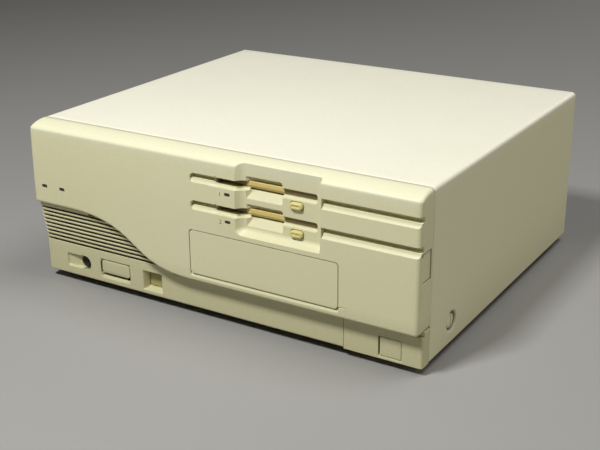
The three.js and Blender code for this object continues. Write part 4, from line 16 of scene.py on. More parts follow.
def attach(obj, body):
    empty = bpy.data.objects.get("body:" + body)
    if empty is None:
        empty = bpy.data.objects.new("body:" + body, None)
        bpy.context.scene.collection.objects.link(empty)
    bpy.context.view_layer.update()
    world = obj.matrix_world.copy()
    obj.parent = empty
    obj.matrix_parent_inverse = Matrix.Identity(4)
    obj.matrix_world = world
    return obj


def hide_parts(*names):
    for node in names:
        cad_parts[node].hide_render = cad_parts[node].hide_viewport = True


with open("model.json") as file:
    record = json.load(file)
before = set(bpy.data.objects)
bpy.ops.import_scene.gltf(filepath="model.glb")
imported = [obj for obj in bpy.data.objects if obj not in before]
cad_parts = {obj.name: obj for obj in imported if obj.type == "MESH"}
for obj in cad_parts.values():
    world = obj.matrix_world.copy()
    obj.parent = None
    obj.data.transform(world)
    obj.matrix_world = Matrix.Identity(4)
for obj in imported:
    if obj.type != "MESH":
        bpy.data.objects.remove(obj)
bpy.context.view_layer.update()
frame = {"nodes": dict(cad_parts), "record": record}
nodes = frame["nodes"]

MM = 0.001
scene = bpy.context.scene

# %% [markdown]
# ## The camera
# A photograph's camera can be solved from edges whose real lengths are known: here the case's width, depth and
# height gave the place, the three turns and the focal length. The turns are kept as plain angles.

# %% Camera
CAMERA_PLACE = Vector((502.8, -841.2, 417.3)) * MM
CAMERA_YAW = math.radians(31.584)
CAMERA_PITCH = math.radians(21.339)
CAMERA_ROLL = math.radians(-0.428)
CAMERA_LENS = 66.73


def camera_axes(yaw, pitch, roll):
    """Forward from yaw and pitch, right on the level, up square to both; the roll then turns right and up."""
    forward = Vector((-math.sin(yaw) * math.cos(pitch), math.cos(yaw) * math.cos(pitch), -math.sin(pitch)))
    right = Vector((math.cos(yaw), math.sin(yaw), 0))
    up = right.cross(forward)
    return right * math.cos(roll) + up * math.sin(roll), up * math.cos(roll) - right * math.sin(roll), forward


def add_object(name, data):
    made = bpy.data.objects.new(name, data)
    scene.collection.objects.link(made)
    return made


camera_data = bpy.data.cameras.new("camera")
camera_data.lens = CAMERA_LENS
camera_data.clip_start, camera_data.clip_end = 0.01, 50
camera = add_object("camera", camera_data)
right, up, forward = camera_axes(CAMERA_YAW, CAMERA_PITCH, CAMERA_ROLL)
turn = Matrix((right, up, -forward)).transposed()
camera.matrix_world = Matrix.Translation(CAMERA_PLACE) @ turn.to_4x4()
scene.camera = camera
print("camera looks along", [round(v, 3) for v in forward])

# %% [markdown]
# ## The studio
# The floor is a plain grey sheet. A small key lamp above and in front draws short, crisp shadows under the edges.
# A large lamp high above makes the top the brightest side, as in the photograph, a warm one at the right keeps
# that side in half shade, and one behind lights the back. A faint even world keeps the shadows open.

# %% Floor and lamps
FLOOR_HALF = 6.0
WORLD_COLOUR, WORLD_STRENGTH = (1.0, 0.985, 0.96), 0.05
scene.view_settings.view_transform = "Standard"


def add_floor(half):
    """Square sheet under the feet: four corners at plus and minus half in X and Y."""
    mesh = bpy.data.meshes.new("floor")
    corners = [(-half, -half, 0), (half, -half, 0), (half, half, 0), (-half, half, 0)]
    mesh.from_pydata(corners, [], [(0, 1, 2, 3)])
    floor = add_object("floor", mesh)
    return floor


def add_area_lamp(name, place, target, size, power, colour=(1.0, 1.0, 1.0)):
    """Square lamp at place, turned so that it shines at target; size in metres, power in watts."""
    data = bpy.data.lights.new(name, "AREA")
    data.shape, data.size, data.energy, data.color = "SQUARE", size, power, colour
    lamp = add_object(name, data)
    lamp.location = place
    lamp.rotation_mode = "QUATERNION"
    lamp.rotation_quaternion = (Vector(target) - Vector(place)).to_track_quat("-Z", "Y")


floor = add_floor(FLOOR_HALF)
add_area_lamp("lamp_key", (-0.12, -0.90, 1.25), (0, -0.05, 0.1), 0.24, 18.8)
add_area_lamp("lamp_above", (0.8, 0.2, 2.0), (0, 0, 0.1), 1.0, 17)
add_area_lamp("lamp_right", (2.4, -0.1, 1.3), (0.1, 0, 0.08), 1.0, 6, (1.0, 0.94, 0.72))
add_area_lamp("lamp_back", (0.3, 2.3, 0.8), (0, 0.1, 0.08), 0.8, 5)
world = bpy.data.worlds.new("world")
scene.world = world
world.use_nodes = True
background = world.node_tree.nodes["Background"]
background.inputs["Color"].default_value = (*WORLD_COLOUR, 1)
background.inputs["Strength"].default_value = WORLD_STRENGTH
print("lamps", len(bpy.data.lights))

# %% [markdown]
# ## Finishes
# Each finish is a node material with its pattern on Object coordinates, which are metres here, so a grain has a
# real size. A moulded plastic has three things a flat colour lacks: a fine pebbled skin, slow drifts of tone where
# the sun has yellowed it, and soft edges, for which a Bevel node rounds the normal near each edge.

# %% Material helpers
finishes = {}


def new_material(name):
    """Tree and shader of a new material, kept in the table of finishes under its name."""
    made = finishes[name] = bpy.data.materials.new(name)
    made.use_nodes = True
    return made.node_tree, made.node_tree.nodes["Principled BSDF"]


def feed(tree, socket, value):
    """Sets an input socket to the value, or joins it where the value is another socket."""
    if isinstance(value, bpy.types.NodeSocket):
        tree.links.new(value, socket)
    else:
        socket.default_value = value


def feed_all(tree, node, **values):
    """Feeds the node's input sockets by their names, with _ for a space."""
    for name, value in values.items():
        feed(tree, node.inputs[name.replace("_", " ")], value)
    return node


def add_node(tree, kind, **values):
    return feed_all(tree, tree.nodes.new("ShaderNode" + kind), **values)


def object_points(tree):
    return add_node(tree, "TexCoord").outputs["Object"]


def noise(tree, points, scale, detail=2.0, rough=0.5):
    node = add_node(tree, "TexNoise", Vector=points, Scale=scale, Detail=detail, Roughness=rough)
    return node.outputs["Fac"]


def map_range(tree, value, **ends):
    return add_node(tree, "MapRange", Value=value, **ends).outputs["Result"]


def ramp(tree, factor, low, high, low_at=0.0, high_at=1.0):
    """Colour from low to high as the factor goes from low_at to high_at."""
    node = add_node(tree, "ValToRGB", Fac=factor)
    for stop, place, colour in zip(node.color_ramp.elements, (low_at, high_at), (low, high)):
        stop.position = place
        stop.color = (*colour, 1)
    return node.outputs["Color"]


def mix_colours(tree, factor, first, second, blend="MIX"):
    node = add_node(tree, "Mix")
    node.data_type, node.blend_type = "RGBA", blend
    for number, value in ((0, factor), (6, first), (7, second)):
        feed(tree, node.inputs[number], value)
    return node.outputs[2]


def tone(colour, gain):
    return tuple(min(1.0, channel * gain) for channel in colour)


# %% [markdown]
# ### Places on the object
# Painted shade and painted highlights mark places, not pieces. So a colour may turn into another one between two
# places along an axis, or with the distance from a cover screw's dish, where X without its sign serves both sides.

# %% Where a colour turns
DISH_AT = (-105.0, 26.0)
DISH_MIDDLE = (188.0 * MM, DISH_AT[0] * MM, DISH_AT[1] * MM)


def screw_distance(tree, places):
    """Distance from the middle of the dish on the nearer side, in metres."""
    either = add_node(tree, "Math", Value=places["X"])
    either.operation = "ABSOLUTE"
    mirrored = add_node(tree, "CombineXYZ", X=either.outputs[0], Y=places["Y"], Z=places["Z"])
    away = add_node(tree, "VectorMath", Vector=mirrored.outputs[0])
    away.operation = "DISTANCE"
    feed(tree, away.inputs[1], DISH_MIDDLE)
    return away.outputs["Value"]


def along(tree, points, axis, start, end):
    """Goes from 0 at start to 1 at end along an axis, in metres, or along the distance from a cover screw."""
    places = add_node(tree, "SeparateXYZ", Vector=points).outputs
    place = screw_distance(tree, places) if axis == "screw" else places[axis]
    return map_range(tree, place, From_Min=start, From_Max=end)


# %% [markdown]
# ### Moulded and painted skins
# One recipe serves all the satin skins: a slow noise drifts the colour between two close tones, a fine noise
# raises pebbles a few hundredths of a millimetre high, and a mid one makes the gloss uneven, as hands do. Then come
# the turns, which are painted light: a painted highlight pales the nose, painted shade darkens the strip, the
# cover's top is painted whiter than its sides as a sheen, painted shade darkens its dishes and the drives' fronts
# beside the thumb scoops, and painted shade makes the reset cap darker than the eject caps.

# %% Satin skin
SPECK_DARK, SPECK_LIGHT = (0.975, 0.975, 0.975), (1.02, 1.02, 1.02)
HANDLING_SCALE = 38.0


def satin_skin(name, colour, aged, grain, bump, roughness, drift=9.0, edge=0.35, specular=0.35, turns=()):
    """Colour drifts between colour and aged; grain is the pebbles' noise scale, bump their height in millimetres.

    Each turn (axis, start, end, other) takes the colour over to another one between two places on an axis.
    """
    tree, shader = new_material(name)
    points = object_points(tree)
    base = ramp(tree, noise(tree, points, drift, 3.0), colour, aged, 0.3, 0.72)
    for *stretch, other in turns:
        base = mix_colours(tree, along(tree, points, *stretch), base, (*other, 1))
    speck = ramp(tree, noise(tree, points, grain * 0.45, 1.0), SPECK_DARK, SPECK_LIGHT, 0.3, 0.7)
    handled = noise(tree, points, HANDLING_SCALE, 3.0)
    gloss = map_range(tree, handled, To_Min=roughness - 0.06, To_Max=roughness + 0.07)
    rounded = add_node(tree, "Bevel", Radius=edge * MM)
    rounded.samples = 6
    pebbles = add_node(tree, "Bump", Height=noise(tree, points, grain, 2.0, 0.6), Distance=bump * MM,
                       Strength=1.0, Normal=rounded.outputs["Normal"])
    feed_all(tree, shader, Base_Color=mix_colours(tree, 1.0, base, speck, "MULTIPLY"),
             Roughness=gloss, Normal=pebbles.outputs["Normal"], Specular_IOR_Level=specular)


IVORY, IVORY_AGED = (0.745, 0.715, 0.465), (0.730, 0.695, 0.430)
# A paler ivory for a painted highlight on the nose, a darker one for painted shade on the strip.
IVORY_PAINTED_SHEEN, IVORY_PAINTED_SHADE = (0.742, 0.730, 0.508), (0.610, 0.580, 0.345)
# The cover's top colours are a whiter, painted sheen; its side colour is the paint's own.
COVER, COVER_AGED, COVER_SIDE = (0.825, 0.808, 0.665), (0.815, 0.793, 0.635), (0.797, 0.770, 0.515)
YELLOWED, BUTTON = (0.765, 0.605, 0.215), (0.770, 0.680, 0.275)
PLASTIC_GRAIN, PAINT_GRAIN = 1500.0, 1100.0
# Painted shade for the screw dishes, and for the drives' fronts beside the thumb scoops.
dish_painted_shade, slot_painted_shade = tone(COVER_SIDE, 0.20), tone(YELLOWED, 0.30)

# Painted highlight: above Z 0.136 the case turns to a paler, less yellow ivory, as the top light's sheen.
satin_skin("case_plastic", IVORY, IVORY_AGED, PLASTIC_GRAIN, 0.03, 0.46, specular=0.5,
           # Painted shade: below Z 0.050 the case turns darker, as the shade under the bezel's lip.
           turns=(("Z", 0.136, 0.146, IVORY_PAINTED_SHEEN), ("Z", 0.050, 0.032, IVORY_PAINTED_SHADE)))
# Painted sheen: above Z 0.149 the cover keeps a whiter colour than on its sides.
satin_skin("cover_paint", COVER, COVER_AGED, PAINT_GRAIN, 0.025, 0.44, 5.0, 0.5,
           # Painted shade: the sides turn dark inside each screw's dish, from its rim inwards.
           turns=(("Z", 0.149, 0.143, COVER_SIDE), ("screw", 0.0094, 0.0074, dish_painted_shade)))
# Painted highlight: the screw heads are a lighter copy of the cover's side colour, for the light their domes catch.
satin_skin("screw_paint", tone(COVER_SIDE, 1.14), COVER_SIDE, PAINT_GRAIN, 0.025, 0.30, 60.0, specular=0.6)
# Painted shade: the drives' fronts turn dark outside the thumb scoop's span, where the slot's lip shades them.
satin_skin("yellowed_plastic", YELLOWED, tone(YELLOWED, 0.93), PLASTIC_GRAIN, 0.04, 0.45,
           turns=(("X", 0.0692, 0.0706, slot_painted_shade), ("X", 0.0356, 0.0342, slot_painted_shade)))
# Painted shade: left of X -0.010 the button colour turns darker, for the reset cap deep in its funnel.
satin_skin("button_plastic", BUTTON, tone(BUTTON, 0.93), PLASTIC_GRAIN, 0.03, 0.42,
           turns=(("X", -0.010, -0.030, tone(BUTTON, 0.55)),))
satin_skin("dark_plastic", (0.018, 0.018, 0.019), (0.026, 0.025, 0.024), 1300.0, 0.05, 0.5)
satin_skin("foot_rubber", (0.022, 0.022, 0.022), (0.034, 0.033, 0.031), 900.0, 0.08, 0.72)
satin_skin("light_lens", (0.030, 0.022, 0.016), (0.040, 0.030, 0.020), PLASTIC_GRAIN, 0.0, 0.12,
           edge=0.2, specular=0.5)
print("satin skins", sorted(finishes))

# %% [markdown]
# ### Metals and the circuit board
# Zinc-plated sheet shows faint rolling lines along its length, so its noise is squeezed sixtyfold across them. The
# cast frames of the drives are blasted, with an even sparkle. The board is green lacquer over fine copper tracks.

# %% Metal and board
ROLLING_SCALE = 6.0
TRACK_SCALE = 160.0


def rolled_metal(name, colour, squeeze, roughness):
    """Noise squeezed along each axis gives the rolling lines in tone and gloss."""
    tree, shader = new_material(name)
    mapping = add_node(tree, "Mapping", Vector=object_points(tree), Scale=squeeze)
    streaks = noise(tree, mapping.outputs["Vector"], ROLLING_SCALE, 5.0, 0.65)
    gloss = map_range(tree, streaks, To_Min=roughness - 0.08, To_Max=roughness + 0.1)
    relief = add_node(tree, "Bump", Height=streaks, Distance=0.02 * MM, Strength=1.0)
    feed_all(tree, shader, Base_Color=ramp(tree, streaks, tone(colour, 0.88), tone(colour, 1.08), 0.3, 0.7),
             Roughness=gloss, Normal=relief.outputs["Normal"], Metallic=1.0)


def lacquered_board(name):
    """A brick pattern of fine lines stands for the copper tracks under the green lacquer."""
    tree, shader = new_material(name)
    tracks = add_node(tree, "TexBrick", Vector=object_points(tree), Scale=TRACK_SCALE,
                      Color1=(0.010, 0.100, 0.045, 1), Color2=(0.013, 0.118, 0.052, 1),
                      Mortar=(0.030, 0.190, 0.080, 1), Mortar_Size=0.03)
    relief = add_node(tree, "Bump", Height=tracks.outputs["Fac"], Distance=0.03 * MM, Strength=1.0)
    feed_all(tree, shader, Base_Color=tracks.outputs["Color"], Normal=relief.outputs["Normal"], Roughness=0.3,
             Coat_Weight=0.4)


rolled_metal("zinc_steel", (0.55, 0.56, 0.56), (1.0, 60.0, 60.0), 0.42)
rolled_metal("cast_aluminium", (0.62, 0.63, 0.64), (40.0, 40.0, 40.0), 0.5)
rolled_metal("gilt_brass", (0.82, 0.62, 0.28), (90.0, 90.0, 90.0), 0.32)
lacquered_board("circuit_board")

# %% Floor finish
FLOOR_GREY = (0.31, 0.305, 0.29)


def plain_sheet(name, colour):
    tree, shader = new_material(name)
    patches = ramp(tree, noise(tree, object_points(tree), 1.3), tone(colour, 0.98), tone(colour, 1.02))
    feed_all(tree, shader, Base_Color=patches, Roughness=0.8, Specular_IOR_Level=0.2)


plain_sheet("floor_sheet", FLOOR_GREY)
floor.data.materials.append(finishes["floor_sheet"])

# %% [markdown]
# ## Dressing the carried-over pieces
# The record names a material slot for each node, and the finishes go by the same names.

# %% Dress every node
for row in frame["record"]["subparts"]:
    mesh = nodes[row["node"]].data
    mesh.materials.clear()
    mesh.materials.append(finishes[row["material_slot"]])

# %% [markdown]
# ## The front bezel
# The bezel is one moulding, and everything that makes the front is pressed into it: the nose that rolls over to
# the top, the recess round the disk slots, the side grooves, the thumb scoops and the swept lower edge. So it is
# worked out as one grid: its columns go from the left seam round the corner, across the front and round the other
# corner, and its rows from the underside up to the top. Each hollow is a depth at a place (x, z), in millimetres,
# and the deepest one wins.

# %% Bezel sizes in millimetres
SIDE_X, FRONT_Y, SEAM_Y, TOP_Z = 190.0, -167.5, -145.65, 150.0
EDGE_ROUND = 3.5
# Face: upright up to a height, then leaning back; two parabolas make the nose, drawn in at the round corners
FACE_STRAIGHT_Z, FACE_TOP_Z, FACE_LEAN = 90.0, 143.5, 1.0
NOSE_LOW_Z, NOSE_FOLD, NOSE_HIGH_Y, NOSE_END_Y = 146.09, (-161.0, 148.0), -155.25, -149.5
NOSE_LOW_DRAW, NOSE_FOLD_DRAW = 1.9, (1.4, 3.0)
# Swept lower edge: its heights right and left, the ends of the curve and their pull; above it the rows are level
LIP_Z, SWEEP_Z = 37.6, 76.2
SWEEP_X0, SWEEP_X1 = -149.6, -19.3
SWEEP_LEAD, SWEEP_TAIL = 0.61, 0.526
LIP_ROUND, LIP_STEPS = 2.6, 6
LEVEL_Z = 86.0
# Disk slots: each one's ceiling, then what both share, measured from there
SLOT_TOPS = (133.0, 109.8)
SLOT_X0, SLOT_X1 = 8.0, 100.6
SLOT_HEIGHT, SLOT_ROUND = 8.1, 3.5
SLOT_LIP, SLOT_LIP_DEPTH = 2.4, 3.5
EJECT_AT, EJECT_HALF, EJECT_ROUND = (82.3, -12.1), (6.4, 3.5), 3.4
DRIVE_LIGHT = (18.2, 23.4, -14.2, -11.5)
# Recess: left, right and lower edge, with the width and the power of the cove along each
RECESS_X0, RECESS_X1, RECESS_Z0 = 28.0, 106.2, 88.0
COVE_WIDTHS, COVE_POWERS = (10.5, 1.5, 6.5), (3.45, 2.3, 2.3)
RECESS_DEPTH = 6.0
# Grooves: the left one blends into the slot's lip, the right one starts past the recess and reaches lower; the
# curved lip ends at a share of the height, and the drop behind it lies between two shares
GROOVE_X0, RIGHT_GROOVE_X, RIGHT_GROOVE_DROP = -15.5, RECESS_X1 + 1, 0.8
GROOVE_LIP_DEPTH, GROOVE_LIP_SHARE = 2.6, 0.47
GROOVE_DROP_DEPTH, GROOVE_DROP_AT = 3.4, (0.44, 0.53)
BLEND = SLOT_OVERLAP = 5.0
# Thumb scoops: how far they pass the slot, and the widths of their walls and ceiling
SCOOP_X0, SCOOP_X1, SCOOP_BELOW, SCOOP_ABOVE = 35.6, 69.2, 6.5, 4.0
SCOOP_ROUND, SCOOP_DEEPER = 1.5, 4.5
SCOOP_LEFT, SCOOP_RIGHT, SCOOP_CEILING = 4.0, 1.5, 0.9
# Bay (x0, x1, z0, z1) over a sloped lip, lights, and latches in the sides (y0, y1, z0, z1)
BAY, BAY_ROUND = (-18.5, 122.5, 44.5, 84.0), 3.0
BAY_LIP_HEIGHT, BAY_LIP_DEPTH = 2.6, 1.6
LIGHTS_X, LIGHTS_Z, LIGHT_ROUND = ((-179.2, -173.3), (-158.9, -153.1)), (91.75, 94.65), 0.3
LATCH, LATCH_SINK = (-161.3, -147.6, 79.0, 103.4), 2.4
# How far back the walls of the openings go, and the thickness of the finished skin
BAY_WALL, SLOT_WALL, LIGHT_WALL = 9.0, 10.5, 4.0
BEZEL_SKIN = 0.45


def quadratic(start, bend, end, shares):
    """Parabola: (1-s)^2 start + 2s(1-s) bend + s^2 end, for each share s."""
    s = np.asarray(shares)[:, None]
    return (1 - s) ** 2 * np.array(start) + 2 * s * (1 - s) * np.array(bend) + s**2 * np.array(end)


def sweep_line(x):
    """Height of the swept lower edge: a cubic curve, level at both ends, read off at each x."""
    s = np.linspace(0, 1, 400)
    lead = SWEEP_X0 + (SWEEP_X1 - SWEEP_X0) * SWEEP_LEAD
    tail = SWEEP_X1 - (SWEEP_X1 - SWEEP_X0) * SWEEP_TAIL
    near, mid_near, mid_far, far = (1 - s) ** 3, 3 * s * (1 - s) ** 2, 3 * s**2 * (1 - s), s**3
    curve_x = near * SWEEP_X0 + mid_near * lead + mid_far * tail + far * SWEEP_X1
    curve_z = (near + mid_near) * SWEEP_Z + (mid_far + far) * LIP_Z
    return np.interp(x, curve_x, curve_z)


def face_lean(z):
    """The lean grows with the square of the way from the face's straight part to its top."""
    return FACE_LEAN * np.clip((z - FACE_STRAIGHT_Z) / (FACE_TOP_Z - FACE_STRAIGHT_Z), 0, 1) ** 2


def rounded_distance(x, z, x0, x1, z0, z1, radius):
    """Distance to a rounded rectangle, below zero inside it."""
    out_x = np.abs(x - (x0 + x1) / 2) - (x1 - x0) / 2 + radius
    out_z = np.abs(z - (z0 + z1) / 2) - (z1 - z0) / 2 + radius
    outside = np.hypot(np.maximum(out_x, 0), np.maximum(out_z, 0))
    return outside + np.minimum(np.maximum(out_x, out_z), 0) - radius


def lines(keys, spacing):
    """Sorted grid lines: all the keys, with each gap cut into equal steps no wider than spacing at its middle."""
    keys = np.unique(np.round(keys, 3))
    steps = [np.linspace(a, b, int(np.ceil((b - a) / spacing((a + b) / 2))), endpoint=False)
             for a, b in zip(keys[:-1], keys[1:])]
    return np.append(np.concatenate(steps), keys[-1])


# %% [markdown]
# ### Depth of the hollows
# A groove has a level ceiling and a floor that curves up to meet it, so light from above catches its lower lip and
# leaves its upper half dark. The recess has coved walls. The through openings are hollows too, as deep as their
# walls, and the faces at their bottom are left out.

# %% Depth of the bezel at a place
def smooth_step(share):
    """3s^2 - 2s^3: from 0 to 1, level at both ends."""
    share = np.clip(share, 0, 1)
    return share**2 * (3 - 2 * share)


def trough_depth(z, low, back, high, depth):
    """A parabola from the lip at low to the full depth at back, level from there to the ceiling at high."""
    rise = np.sqrt(np.clip((z - low) / (back - low), 0, 1))
    return np.where((z > low) & (z < high), depth * (1 - (1 - rise) ** 2), 0)


def groove_depth(z, low, high):
    """A parabola over the lower half of the height, then a smooth drop to the full depth below the ceiling."""
    share = np.clip((z - low) / (high - low), 0, 1)
    lip = GROOVE_LIP_DEPTH * (1 - (1 - np.clip(share / GROOVE_LIP_SHARE, 0, 1)) ** 2)
    start, end = GROOVE_DROP_AT
    drop = GROOVE_DROP_DEPTH * smooth_step((share - start) / (end - start))
    return np.where((z > low) & (z < high), lip + drop, 0)


def recess_depth(x, z):
    """Coves of three widths: 1 - (distance to the edge / width), each to its power, summed and then rooted.

    The left cove has the highest power, so its wall drops at once and then runs out gently.
    """
    gaps = (x - RECESS_X0, RECESS_X1 - x, z - RECESS_Z0)
    walls = sum(np.clip(1 - gap / width, 0, None) ** power
                for gap, width, power in zip(gaps, COVE_WIDTHS, COVE_POWERS))
    rest = np.clip(1 - walls ** (1 / COVE_POWERS[1]), 0, 1)
    return RECESS_DEPTH * (1 - (1 - rest) ** 2)


def scoop_outline(high):
    return SCOOP_X0, SCOOP_X1, high - SLOT_HEIGHT - SCOOP_BELOW, high + SCOOP_ABOVE, SCOOP_ROUND


def slot_depth(x, z, high):
    """Left groove, the lip before the slot in the face and in the recess, right groove, and the thumb scoop."""
    low = high - SLOT_HEIGHT
    lip = trough_depth(z, low, low + SLOT_LIP, high, SLOT_LIP_DEPTH)
    inside = rounded_distance(x, z, GROOVE_X0, SLOT_X1, low, high, SLOT_ROUND) < 0
    change = smooth_step((x - SLOT_X0 + BLEND / 2) / BLEND)
    left = groove_depth(z, low, high) * (1 - change) + lip * change
    depth = np.where(inside & (x < RECESS_X0 + SLOT_OVERLAP), left, 0)
    sunk = np.where(lip > 0, recess_depth(x, z) + lip, 0)
    depth = np.where(inside & (x >= RECESS_X0), np.maximum(depth, sunk), depth)
    right = groove_depth(z, low - RIGHT_GROOVE_DROP, high)
    depth = np.where(x > RIGHT_GROOVE_X, np.maximum(depth, right), depth)
    slope = np.min([(x - SCOOP_X0) / SCOOP_LEFT, (SCOOP_X1 - x) / SCOOP_RIGHT,
                    (z - low + SCOOP_BELOW) / SCOOP_BELOW, (high + SCOOP_ABOVE - z) / SCOOP_CEILING], axis=0)
    scoop = RECESS_DEPTH + SCOOP_DEEPER * np.clip(slope, 0, 1)
    return np.where(rounded_distance(x, z, *scoop_outline(high)) < 0, np.maximum(depth, scoop), depth)


def bay_lip_depth(x, z):
    """A slope just below the bay's opening."""
    x0, x1, z0, z1 = BAY
    inside = rounded_distance(x, z, x0, x1, z0 - BAY_LIP_HEIGHT, z1, BAY_ROUND) < 0
    return np.where(inside, BAY_LIP_DEPTH * np.clip((z - z0 + BAY_LIP_HEIGHT) / BAY_LIP_HEIGHT, 0, 1), 0)


def bezel_depth(x, z):
    """The deepest hollow at (x, z), in millimetres from the front plane."""
    slots = [slot_depth(x, z, high) for high in SLOT_TOPS]
    return np.max([recess_depth(x, z), bay_lip_depth(x, z), *slots], axis=0)


# %% Through openings: outline as x0, x1, z0, z1, radius, and how far back its wall goes
def box_around(middle_x, middle_z, half_x, half_z):
    return middle_x - half_x, middle_x + half_x, middle_z - half_z, middle_z + half_z


through_openings = [((*BAY, BAY_ROUND), BAY_WALL)]
through_openings += [((*ends, *LIGHTS_Z, LIGHT_ROUND), LIGHT_WALL) for ends in LIGHTS_X]
for high in SLOT_TOPS:
    low = high - SLOT_HEIGHT
    through_openings += [
        ((SLOT_X0, SLOT_X1, low + SLOT_LIP, high, 2.0), SLOT_WALL),
        ((*box_around(EJECT_AT[0], high + EJECT_AT[1], *EJECT_HALF), EJECT_ROUND), SLOT_WALL),
        ((*DRIVE_LIGHT[:2], high + DRIVE_LIGHT[2], high + DRIVE_LIGHT[3], LIGHT_ROUND), LIGHT_WALL),
        ((SCOOP_X0 + 2, SCOOP_X1 - 0.8, low + 0.2, high, 0.8), SLOT_WALL),
    ]
print("through openings in the bezel", len(through_openings))

# %% [markdown]
# ### Grid lines
# A grid can only show an edge where two of its lines lie close together. So each straight edge gives a pair of
# lines a few hundredths of a millimetre apart, and the curved corners get a fine spacing. The grid points next to a
# rounded outline are then moved onto it, which keeps the corners round.

# %% Grid of the bezel
PAIR, SNAP, TINY = 0.03, 0.75, 0.005
FINE = 0.6


def pairs(*edges):
    return [edge + side * PAIR for edge in edges for side in (-1, 1)]


def within(at, spans):
    return any(a <= at <= b for a, b in spans)


def column_lines():
    """Lines in x: pairs at upright edges, fine spacing round the corners of the openings."""
    corner = 2 * SCOOP_ROUND
    keys = [SIDE_X - EDGE_ROUND, EDGE_ROUND - SIDE_X, SWEEP_X0, SWEEP_X1, GROOVE_X0 + SLOT_ROUND,
            RECESS_X0 + COVE_WIDTHS[0], RECESS_X1 - COVE_WIDTHS[1], RECESS_X1 - COVE_WIDTHS[1] / 2,
            SCOOP_X0 + SCOOP_ROUND, SCOOP_X0 + corner, SCOOP_X1 - SCOOP_ROUND, SCOOP_X1 - corner]
    keys += pairs(RECESS_X0, RECESS_X1, RIGHT_GROOVE_X, SCOOP_X0, SCOOP_X1, GROOVE_X0, SLOT_X0 + 2.1,
                  RECESS_X0 + SLOT_OVERLAP)
    fine = [(GROOVE_X0, GROOVE_X0 + SLOT_ROUND), (SLOT_X0 - BLEND / 2, SLOT_X0 + BLEND / 2),
            (SLOT_X1 - 3.6, SLOT_X1), (SCOOP_X0, SCOOP_X0 + corner), (SCOOP_X1 - corner, SCOOP_X1)]
    for (x0, x1, _, _, radius), _ in through_openings:
        keys += pairs(x0, x1) + [x0 + radius, x1 - radius]
        if radius > 1:
            fine += [(x0, x0 + radius), (x1 - radius, x1)]
    keys = [key for key in keys if abs(key) < SIDE_X - EDGE_ROUND + 0.001]

    def spacing(x):
        if within(x, fine):
            return FINE
        if RECESS_X0 < x < RECESS_X0 + COVE_WIDTHS[0]:
            return 1.0
        if SWEEP_X0 < x < SWEEP_X1:
            return 2.6
        return 4.0 if x < RECESS_X1 else 6.0

    return lines(keys, spacing)


def row_lines():
    """Lines in z above LEVEL_Z: pairs at level edges, and finer steps along the coves and groove floors."""
    corner = 2 * SCOOP_ROUND
    keys = [LEVEL_Z, FACE_TOP_Z, *(RECESS_Z0 + np.linspace(0, 1, 9) * COVE_WIDTHS[2]), *pairs(RECESS_Z0)]
    floor_shares = [*np.linspace(0, GROOVE_DROP_AT[0], 7)[1:], *np.linspace(*GROOVE_DROP_AT, 5)[1:]]
    fine = []
    for high in SLOT_TOPS:
        low = high - SLOT_HEIGHT
        right_low, scoop_low, scoop_high = low - RIGHT_GROOVE_DROP, low - SCOOP_BELOW, high + SCOOP_ABOVE
        keys += pairs(low, high, right_low, scoop_low, scoop_high)
        keys += [low + SLOT_LIP * share**2 for share in np.linspace(0, 1, 7)[1:-1]]
        keys += [start + (high - start) * share for start in (low, right_low) for share in floor_shares]
        keys += [scoop_low + corner, low + SLOT_ROUND, high - SLOT_ROUND, scoop_high - corner]
        fine += [(scoop_low, scoop_low + corner), (scoop_high - corner, scoop_high), (low, low + SLOT_ROUND),
                 (high - SLOT_ROUND, high)]
    for (_, _, z0, z1, radius), _ in through_openings[1:]:
        keys += pairs(z0, z1) + [z0 + radius, z1 - radius]
        if radius > 1:
            fine += [(z0, z1)]
    return lines(keys, lambda z: FINE if within(z, fine) else 2.0)


def lower_shares():
    """Shares of the height from the rounded lower edge to LEVEL_Z, with pairs at the bay's and latches' edges."""
    bottom, left_bottom = LIP_Z + LIP_ROUND, SWEEP_Z + LIP_ROUND
    _, _, z0, z1 = BAY
    left_latch = bottom + (LATCH[2] - left_bottom) / (LEVEL_Z - left_bottom) * (LEVEL_Z - bottom)
    keys = [bottom, LEVEL_Z, z0 + BAY_ROUND, z1 - BAY_ROUND]
    keys += pairs(z0 - BAY_LIP_HEIGHT, z0, z1, LATCH[2], left_latch)
    heights = lines(keys, lambda z: 3.0 if z0 + BAY_ROUND <= z <= z1 - BAY_ROUND else 0.5)
    return (heights - bottom) / (LEVEL_Z - bottom)


columns, rows, shares = column_lines(), row_lines(), lower_shares()
print("bezel grid", len(columns), "columns,", len(rows) + len(shares), "rows")

# %% [markdown]
# ### The surface of the bezel
# Each column has a place across the front, a turn round the corner and a share of the way back along the side, and
# each row a place on the side profile. Together they give a point on the bare moulding. Where a hollow is deeper,
# the point moves straight back to its floor, so a groove that runs out at the corner also notches the side.

# %% Bare moulding of the bezel
def bezel_columns():
    """x, turn and share of the side for each column; a turn goes from 0 on the front to a quarter circle."""
    middle, start = SIDE_X - EDGE_ROUND, FRONT_Y + EDGE_ROUND
    corner = [(middle + EDGE_ROUND * np.sin(turn), turn, 0) for turn in np.linspace(0, np.pi / 2, 8)[1:]]
    side = [(SIDE_X, np.pi / 2, (y - start) / (SEAM_Y - start)) for y in (*pairs(*LATCH[:2]), SEAM_Y)]
    right = np.array(corner + side).T
    front = np.array([(x, 0, 0) for x in columns]).T
    return np.concatenate([right[:, ::-1] * [[-1], [1], [1]], front, right], axis=1)


